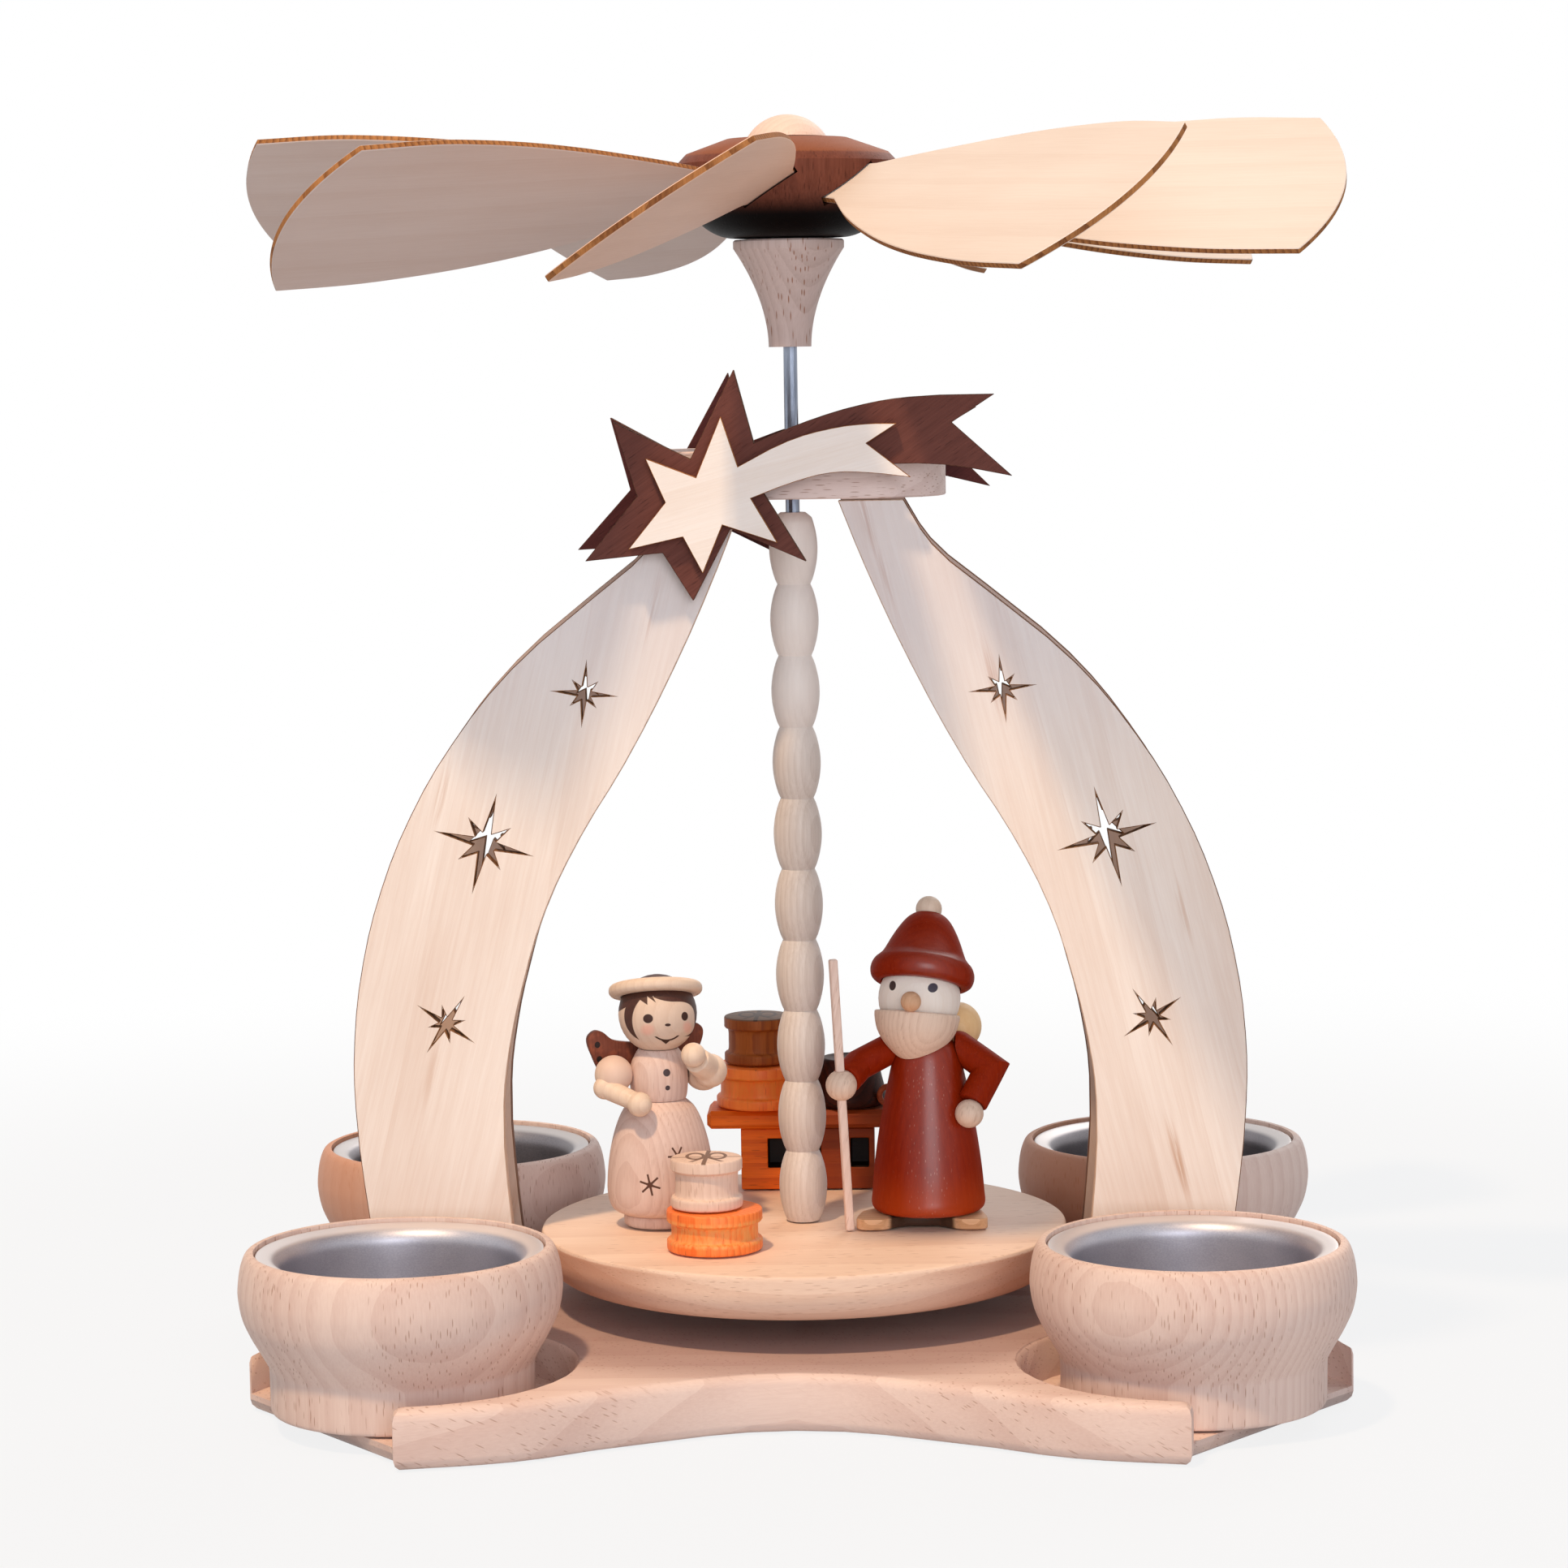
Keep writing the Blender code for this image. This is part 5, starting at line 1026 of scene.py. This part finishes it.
# The angel
angelShape = {
    "turn": 20, "foot": 6.8, "footHeight": 2.3, "skirt": 9.8, "waist": 4.6, "seam": 0.26, "bust": 5.35,
    "bustHeight": 8.2, "head": 7.2, "seatGap": 0.1, "ring": 8.6, "ringThickness": 2.4,
    "ringShift": (-0.2, 0, -0.3), "ringTilt": (-17, -2.6, 0), "sleeve": 3.5, "hand": 2.25,
    "wingThickness": 1.6, "wingTurn": 26, "gap": 0.3,
    "wing": [(0, 9.6, 1), (3.8, 9.9), (6.7, 10.6), (8.6, 12.1), (10, 12.4), (11.3, 11.4), (11.4, 10),
             (10.6, 7.8), (9.4, 5.2), (7.2, 2.8), (4, 2.4), (0, 3.4, 1)],
}
# Side, lift of the shoulder, elbow and its radius, wrist and its radius, hand; places from the shoulder
angelArms = {
    "left": (-1, 0.2, (-9.6, -4.6, -2), 2.1, (-3.8, -8, -4), 1.85, (-3, -8.6, -4.4)),
    "right": (1, -0.4, (9.5, -1, 0.4), 3.1, (7.3, -5.6, 3.2), 2.6, (6.8, -7, 4.3)),
}
angelFoot = (*angelPlace, 0)
angelHead = (*angelPlace, middleOf("angel_head")[2])


def angelSkirt(foot, footHeight, skirt, waist, seam, **others):
    low, high = boxOf("angel_skirt")
    bottom = low[2]
    hem = bottom + footHeight
    widest = hem + 4.2
    top = high[2] + seam
    profile = [(0, top, 1), (waist + 0.2, top, 1), (waist + 0.3, top - 0.1)]
    for step in range(2, 14):
        share = (step / 13) ** 1.5
        swell = math.sin(share * math.pi / 2) ** 0.5
        profile.append((waist + (skirt - waist) * swell, high[2] - (high[2] - widest) * share))
    profile += [(skirt - 0.3, hem + 2.2), (skirt - 1, hem + 0.8), (skirt - 2.4, hem, 1), (foot - 0.4, hem, 1),
                (foot, hem - 0.5), (foot, bottom + 0.4), (foot - 0.3, bottom, 1), (0, bottom, 1)]
    turned("dress_skirt", flow(profile, 3), 88, "skirt", "angel_skirt", angelFoot)


def angelBust(bust, bustHeight, waist, head, seatGap, **others):
    bottom = boxOf("angel_bust")[0][2]
    neck = bottom + bustHeight
    seat = head + seatGap
    profile = []
    for step in range(7):
        angle = math.radians(step * 4.75)
        profile.append((seat * math.sin(angle), angelHead[2] - seat * math.cos(angle)))
    across, height = profile.pop()
    profile += [(across, height, 1), (across + 0.35, height - 0.25), (bust - 0.35, neck - 1.5),
                (bust, bottom + 4.1), (bust - 0.15, bottom + 1.4), (waist + 0.3, bottom + 0.1),
                (waist, bottom, 1), (0, bottom, 1)]
    turned("dress_bust", flow(profile, 4), 72, "bust", "angel_bust", angelFoot)
    adopt(ball("head_angel", head, angelHead, 72, 18, 0.05), "angelFace", "angel_head")


def angelRing(head, seatGap, ring, ringThickness, ringShift, ringTilt, **others):
    half = ringThickness / 2
    middle = 0.65 * head
    profile = []
    for height in (middle - half, middle - half * 0.4, middle + half * 0.4, middle + half):
        profile.append((math.sqrt((head + seatGap) ** 2 - height ** 2) + 0.1, height))
    profile[0] = (*profile[0], 1)
    profile[3] = (*profile[3], 1)
    for inset, share in ((1.3, 1), (0.55, 0.85), (0.1, 0.45), (0, 0), (0.1, -0.45), (0.55, -0.85), (1.3, -1)):
        profile.append((ring - inset, middle + half * share))
    turned("hat_brim_ring", flow(profile, 3), 80, "maple", "angel_hat_ring", shifted(angelHead, *ringShift),
           ringTilt, True)


def angelWings(wing, wingThickness, wingTurn, bust, head, gap, **others):
    half = flow(wing, 6)
    outline = half + [(-across, height) for across, height in half[-2:0:-1]]
    wings = soften(plate("wings_plate", outline, wingThickness), 0.35, 3, 50)
    behind = bust + gap + wingThickness / 2
    turn = math.radians(wingTurn)
    place = shifted(angelFoot, -behind * math.sin(turn), behind * math.cos(turn), boxOf("angel_bust")[0][2])
    settle(wings, place, (90, 0, wingTurn))
    carve(wings, ball("wingRoom", head + gap, angelHead, 64))
    adopt(wings, "wings", "angel_wings")


def angelArm(name, arm, turn, bust, bustHeight, sleeve, hand, head, **others):
    side, lift, elbow, elbowRadius, wrist, wristRadius, palm = arm
    bottom = boxOf("angel_bust")[0][2]
    out = side * (bust + sleeve - 0.3)
    shoulder = (*angelPlace, bottom + bustHeight * 0.58)
    top = shifted(shoulder, out * math.cos(math.radians(turn)), out * math.sin(math.radians(turn)), lift)
    elbow = shifted(shoulder, *elbow)
    wrist = shifted(shoulder, *wrist)
    piece = ball("sleeve_angel_" + name, sleeve, top, 48)
    carve(piece, ball("elbow", elbowRadius, elbow), "UNION")
    carve(piece, rodBetween("forearm", elbow, wrist, wristRadius, wristRadius * 0.92), "UNION")
    carve(piece, ball("hand", hand, shifted(shoulder, *palm)), "UNION")
    room = [(0, bottom + 12), (bust + 0.2, bottom + 12), (bust + 0.25, bottom + 4), (bust + 0.1, bottom + 1),
            (0, bottom + 1)]
    carve(piece, settle(lathe("room", room, 64), angelFoot))
    carve(piece, ball("room", head + 0.2, angelHead, 64))
    adopt(smooth(piece, 45), "sleeves", "angel_arm_" + name)


angelSkirt(**angelShape)
angelBust(**angelShape)
angelRing(**angelShape)
angelWings(**angelShape)
for name, arm in angelArms.items():
    angelArm(name, arm, **angelShape)
print("angel made")


# The gift-bringer
giverPlace = (23, -2.6)
coatShape = {"coat": 10.4, "neck": 5.4}
shoeShape = {"thickness": 2, "wide": 11.9, "gap": 6, "reach": 8.1, "shift": -1.2}
headShape = {"head": 7.5, "nose": 1.85, "gap": 0.3, "pom": 2.4}
beardShape = {"wide": 7.8, "depth": 9.3, "shift": (-0.4, -1.8, -2.4), "tilt": (-10, 5, 0)}
hatShape = {"wide": 9.55, "brim": 2.4, "top": 16.2, "tilt": (-20, 7.8, 0)}
# The hand's radius, then hand, shoulder, elbow and wrist; places from just below the coat's top
giverArms = {
    "right": (2.6, (7.6, -6.9, -11.4), (5.9, 0.2, -0.2), (11.5, -2, -4), (8.2, -5.3, -9.7)),
    "left": (2.85, (-15.5, -7.4, -5.9), (-6.5, 0.2, -0.4), (-12.4, -2.2, -3.1), (-14.6, -5.8, -5.1)),
}
sleeveRadius = 2.8
staffHalf = 0.9
giverHead = middleOf("santa_head")
coatLow, coatHigh = (corner[2] for corner in boxOf("santa_coat"))


def coatRadius(share):
    return coatShape["coat"] - (coatShape["coat"] - coatShape["neck"]) * share ** 1.6


def coatRoom(gap):  # the coat's own form, a little wider
    space = [(0, coatHigh + 1), (coatShape["neck"] + gap, coatHigh + 1)]
    for step in range(8):
        share = 0.97 - 0.12 * step
        space.append((coatRadius(share) + gap, coatLow + (coatHigh - coatLow) * share))
    return settle(lathe("coatRoom", space + [(0, space[-1][1])], 72), (*giverPlace, 0))


def giverCoat(coat, neck):
    top = coatHigh
    hem = coatLow
    profile = [(0, top, 1), (neck - 1.5, top, 1), (neck - 0.5, top - 0.3), (neck + 0.1, top - 1.2)]
    for step in range(9):
        share = 0.9 - 0.1 * step
        profile.append((coatRadius(share), hem + (top - hem) * share))
    profile += [(coat, hem + 1.6), (coat - 0.25, hem + 0.7), (coat - 1, hem + 0.1), (coat - 2, hem, 1),
                (0, hem, 1)]
    turned("coat_turned", flow(profile, 3), 96, "redBrown", "santa_coat", (*giverPlace, 0))


def giverShoes(thickness, wide, gap, reach, shift):
    right = flow([(gap - 3, -reach + 3.4, 1), (gap, -reach + 0.8), (gap + 1.3, -reach), (wide - 1.4, -reach),
                  (wide, -reach + 1.3), (wide - 0.9, 0, 1)], 5)
    outline = [(-x, y) for x, y in right[::-1]] + right + [(6, 6), (-6, 6)]
    shoes = soften(plate("shoes_plate", outline, thickness), 0.3, 2, 50)
    settle(shoes, (giverPlace[0] + shift, giverPlace[1], middleOf("santa_shoes")[2]))
    adopt(shoes, "shoes", "santa_shoes")


def giverBeard(wide, depth, shift, tilt):
    profile = [(0, 0, 1), (wide - 0.25, 0, 1), (wide, -0.25)]
    for across, down in ((0.98, 0.18), (0.91, 0.38), (0.74, 0.61), (0.42, 0.86), (0.14, 0.99)):
        profile.append((wide * across, -depth * down))
    beard = lathe("beard_bowl", flow(profile + [(0, -depth, 1)], 4), 80)
    settle(beard, shifted(giverHead, *shift), tilt)
    carve(beard, ball("beardRoom", headShape["head"] + headShape["gap"], giverHead, 72))
    carve(beard, coatRoom(0.3))
    sawOff(beard, Vector((0, giverHead[1] + 0.5, 0)), (0, 1, 0))
    adopt(smooth(beard, 35), "beard", "santa_beard")


def giverHat(wide, brim, top, tilt):
    room = headShape["head"] + headShape["gap"]
    profile = [(0, top, 1), (0.9, top - 0.05), (1.9, top - 0.25), (3, top - 0.75), (4.15, top - 1.8),
               (5.3, top - 3.5), (6.35, top - 5.5), (7.15, top - 7.3), (7.7, top - 8.4), (8.35, top - 9.15),
               (8.95, brim + 4.05), (wide - 0.1, brim + 3), (wide, brim + 1.9), (wide - 0.35, brim + 0.75),
               (wide - 1.1, brim + 0.1), (wide - 1.6, brim, 1)]
    inside = []
    start = math.asin(brim / room)
    for step in range(10):
        angle = start + (math.pi / 2 - start) * step / 9
        inside.append((max(room * math.cos(angle), 0), room * math.sin(angle)))
    hat = settle(lathe("hat_turned", flow(profile, 4) + inside, 96), giverHead, tilt)
    carve(hat, ball("pomRoom", headShape["pom"] + 0.1, middleOf("santa_pom"), 48))
    adopt(smooth(hat, 45), "redBrown", "santa_hat")


def mitred(name, start, elbow, wrist, radius):  # two round rods sawn at half their angle and glued
    start, elbow, wrist = Vector(start), Vector(elbow), Vector(wrist)
    upper = (elbow - start).normalized()
    lower = (wrist - elbow).normalized()
    across = (upper + lower).normalized()
    halves = []
    for end, way, side in ((start, upper, 1), (wrist, -lower, -1)):
        half = rodBetween(name, end, elbow + way * radius * 3, radius, radius, 48)
        sawOff(half, elbow + across * 0.01 * side, across * side)
        halves.append(half)
    return carve(halves[0], halves[1], "UNION")


def giverArm(name, handRadius, *places):
    hand, start, elbow, wrist = (shifted((*giverPlace, coatHigh - 1), *place) for place in places)
    sleeve = mitred("sleeve_giver_" + name, start, elbow, wrist, sleeveRadius)
    carve(sleeve, ball("cap", sleeveRadius, start), "UNION")
    carve(sleeve, ball("handRoom", handRadius + 0.03, hand))
    carve(sleeve, coatRoom(0.15))
    carve(sleeve, ball("headRoom", headShape["head"] + 0.2, giverHead, 64))
    adopt(smooth(sleeve, 45), "redBrown", "santa_arm_" + name)
    palm = ball("hand_giver_" + name, handRadius, hand, 48)
    if name == "left":
        low, high = boxOf("santa_staff")
        carve(palm, rodBetween("hole", (high[0] - staffHalf, hand[1], low[2] - 1),
                               (low[0] + staffHalf, hand[1], high[2] + 1), 1.05, 1.05))
    adopt(palm, "hands")


def giverStaff(half):
    low, high = boxOf("santa_staff")
    y = (low[1] + high[1]) / 2
    start = Vector((high[0] - half, y, low[2]))
    end = Vector((low[0] + half, y, high[2]))
    bpy.ops.object.select_all(action="DESELECT")
    bpy.ops.mesh.primitive_cylinder_add(vertices=4, radius=half * 1.2 * mm, depth=(end - start).length * mm)
    staff = bpy.context.object
    staff.name = "staff_stick"
    soften(staff, 0.35, 3, 30)
    settle(staff, matrix=along((start + end) / 2, end - start) @ Matrix.Rotation(math.radians(60), 4, "Z"))
    adopt(staff, "staff", "santa_staff")


giverCoat(**coatShape)
giverShoes(**shoeShape)
adopt(ball("head_giver", headShape["head"], giverHead, 72, 18, 0.05), "santaFace", "santa_head")
adopt(ball("nose_giver", headShape["nose"], middleOf("santa_nose"), 48, 18, 0.1), "nose", "santa_nose")
giverBeard(**beardShape)
giverHat(**hatShape)
adopt(ball("pom_turned", headShape["pom"], middleOf("santa_pom"), 48, 18, 0.05), "maple", "santa_pom")
for name, arm in giverArms.items():
    giverArm(name, *arm)
giverStaff(staffHalf)
low, high = boxOf("santa_sack")
sack = ball("sack_turned", (high[2] - low[2]) / 2, middleOf("santa_sack"), 56, 18, 0.25)
adopt(sack, "sack", "santa_sack")
print("gift-bringer made")


# Presents and sledge
giftShape = {"band": 2.2, "groove": 0.7, "ease": 0.35}
gifts = {"gift_drum_front": "orange", "gift_drum_rear": "rearDrum", "gift_box_front": "frontBox",
         "gift_box_rear": "rearBox"}


def sizeOf(node):  # radius, height and the place of the foot
    low, high = boxOf(node)
    middle = middleOf(node)
    return (high[0] - low[0]) / 2, high[2] - low[2], (middle[0], middle[1], low[2])


def giftProfile(radius, height, band, groove, ease):
    waist = radius - groove
    return flow([(0, height, 1), (radius - ease, height, 1), (radius - ease * 0.3, height - ease * 0.3),
                 (radius, height - ease, 1), (radius, height - band + 0.25, 1),
                 (radius - 0.2, height - band, 1), (waist, height - band - 0.3), (waist - 0.1, height * 0.5),
                 (waist, band + 0.1), (radius - 0.2, band - 0.2, 1), (radius, band - 0.45, 1), (radius, 0.5),
                 (radius - 0.12, 0.15), (radius - 0.45, 0, 1), (0, 0, 1)], 4)


def basketProfile(radius, height):
    return flow([(0, height - 0.2, 1), (4.2, height - 0.2, 1), (4.5, height, 1), (5.1, height),
                 (5.4, height - 0.4), (5.9, height * 0.75), (6.3, height * 0.55),
                 (radius - 0.3, height * 0.3), (radius, 1.4),
                 (radius - 0.2, 0.4), (radius - 0.8, 0, 1), (0, 0, 1)], 4)


def ringProfile(node):
    low, high = boxOf(node)
    wire = (high[1] - low[1]) / 2
    radius = (high[0] - low[0]) / 2 - wire
    turns = [2 * math.pi * step / 20 for step in range(20)]
    return [(radius + wire * math.cos(turn), wire * math.sin(turn)) for turn in turns]


for node, finish in gifts.items():
    radius, height, place = sizeOf(node)
    profile = giftProfile(radius, height, **giftShape)
    turned(node.replace("gift_", "") + "_turned", profile, 80, finish, node, place)
radius, height, place = sizeOf("gift_basket")
turned("basket_turned", basketProfile(radius, height), 72, "basket", "gift_basket", place)
profile = ringProfile("sledge_ring")
turned("ring_wire", profile, 48, "handle", "sledge_ring", middleOf("sledge_ring"), (90, 0, 0), True)
print("presents and sledge made")


# Floor, world and lamps
stageSetup = {"floorRadius": 8, "floorColour": (0.47, 0.49, 0.54), "whiteNear": 0.84, "fadeStart": 0.2,
              "fadeEnd": 0.5, "world": 0.36}
lamps = {
    "warmLamp": {"azimuth": -28, "height": 62, "distance": 2.6, "size": 0.15, "power": 50,
                 "colour": (1, 0.71, 0.44)},
    "frontLamp": {"azimuth": 10, "height": 12, "distance": 2, "size": 1, "power": 14,
                  "colour": (0.92, 0.95, 1)},
    "backLamp": {"azimuth": 155, "height": 35, "distance": 2, "size": 1, "power": 9,
                 "colour": (1, 0.98, 0.96)},
}


def seenShare(nodes, links):  # 1 for rays that show the white surroundings: camera, mirror and glass rays
    path = nodes.new("ShaderNodeLightPath")
    share = path.outputs["Is Camera Ray"]
    for name in ("Is Glossy Ray", "Is Transmission Ray"):
        most = nodes.new("ShaderNodeMath")
        most.operation = "MAXIMUM"
        links.new(share, most.inputs[0])
        links.new(path.outputs[name], most.inputs[1])
        share = most.outputs[0]
    return share


def makeFloor(setup):
    bpy.ops.object.select_all(action="DESELECT")
    bpy.ops.mesh.primitive_circle_add(vertices=128, radius=setup["floorRadius"], fill_type="NGON")
    floor = bpy.context.object
    floor.name = "studioFloor"
    floor.location = (0, 0, -0.0001)
    finish = Finish("paperFloor", roughness=0.9)
    finish.set("Base Color", setup["floorColour"])
    x, y, z = finish.split(finish.add("ShaderNodeTexCoord", {}, {}, 3))
    away = (x.squared() + y.squared()).root().ramp(setup["fadeStart"], setup["fadeEnd"])
    white = finish.add("ShaderNodeEmission", {}, {"Color": (1, 1, 1), "Strength": 1})
    seen = Wire(finish, seenShare(finish.tree.nodes, finish.tree.links))
    share = seen * (away * (1 - setup["whiteNear"]) + setup["whiteNear"])
    mixed = finish.add("ShaderNodeMixShader", {}, {0: share, 2: white})
    finish.tree.links.new(finish.shader.outputs[0], mixed.socket.node.inputs[1])
    finish.tree.links.new(mixed.socket, finish.tree.nodes["Material Output"].inputs["Surface"])
    floor.data.materials.append(finish.material)


def makeWorld(setup):
    world = bpy.data.worlds.new("studioWorld")
    bpy.context.scene.world = world
    world.use_nodes = True
    nodes = world.node_tree.nodes
    links = world.node_tree.links
    background = nodes["Background"]
    background.inputs["Color"].default_value = (0.92, 0.95, 1, 1)
    background.inputs["Strength"].default_value = setup["world"]
    white = nodes.new("ShaderNodeBackground")
    white.inputs["Color"].default_value = (1, 1, 1, 1)
    mix = nodes.new("ShaderNodeMixShader")
    links.new(seenShare(nodes, links), mix.inputs[0])
    links.new(background.outputs[0], mix.inputs[1])
    links.new(white.outputs[0], mix.inputs[2])
    links.new(mix.outputs[0], nodes["World Output"].inputs["Surface"])


def makeLamps(setups):  # azimuth 0 is in front, and angles grow to the right
    target = Vector((0, 0, 0.1))
    for name, setup in setups.items():
        turn = math.radians(setup["azimuth"])
        rise = math.radians(setup["height"])
        away = Vector((math.sin(turn) * math.cos(rise), -math.cos(turn) * math.cos(rise), math.sin(rise)))
        bpy.ops.object.light_add(type="AREA", location=target + away * setup["distance"])
        lamp = bpy.context.object
        lamp.name = name
        lamp.data.energy = setup["power"]
        lamp.data.size = setup["size"]
        lamp.data.color = setup["colour"]
        lamp.rotation_mode = "QUATERNION"
        lamp.rotation_quaternion = away.to_track_quat("Z", "Y")


makeFloor(stageSetup)
makeWorld(stageSetup)
makeLamps(lamps)
bpy.context.scene.view_settings.view_transform = "Standard"
print("stage lit")
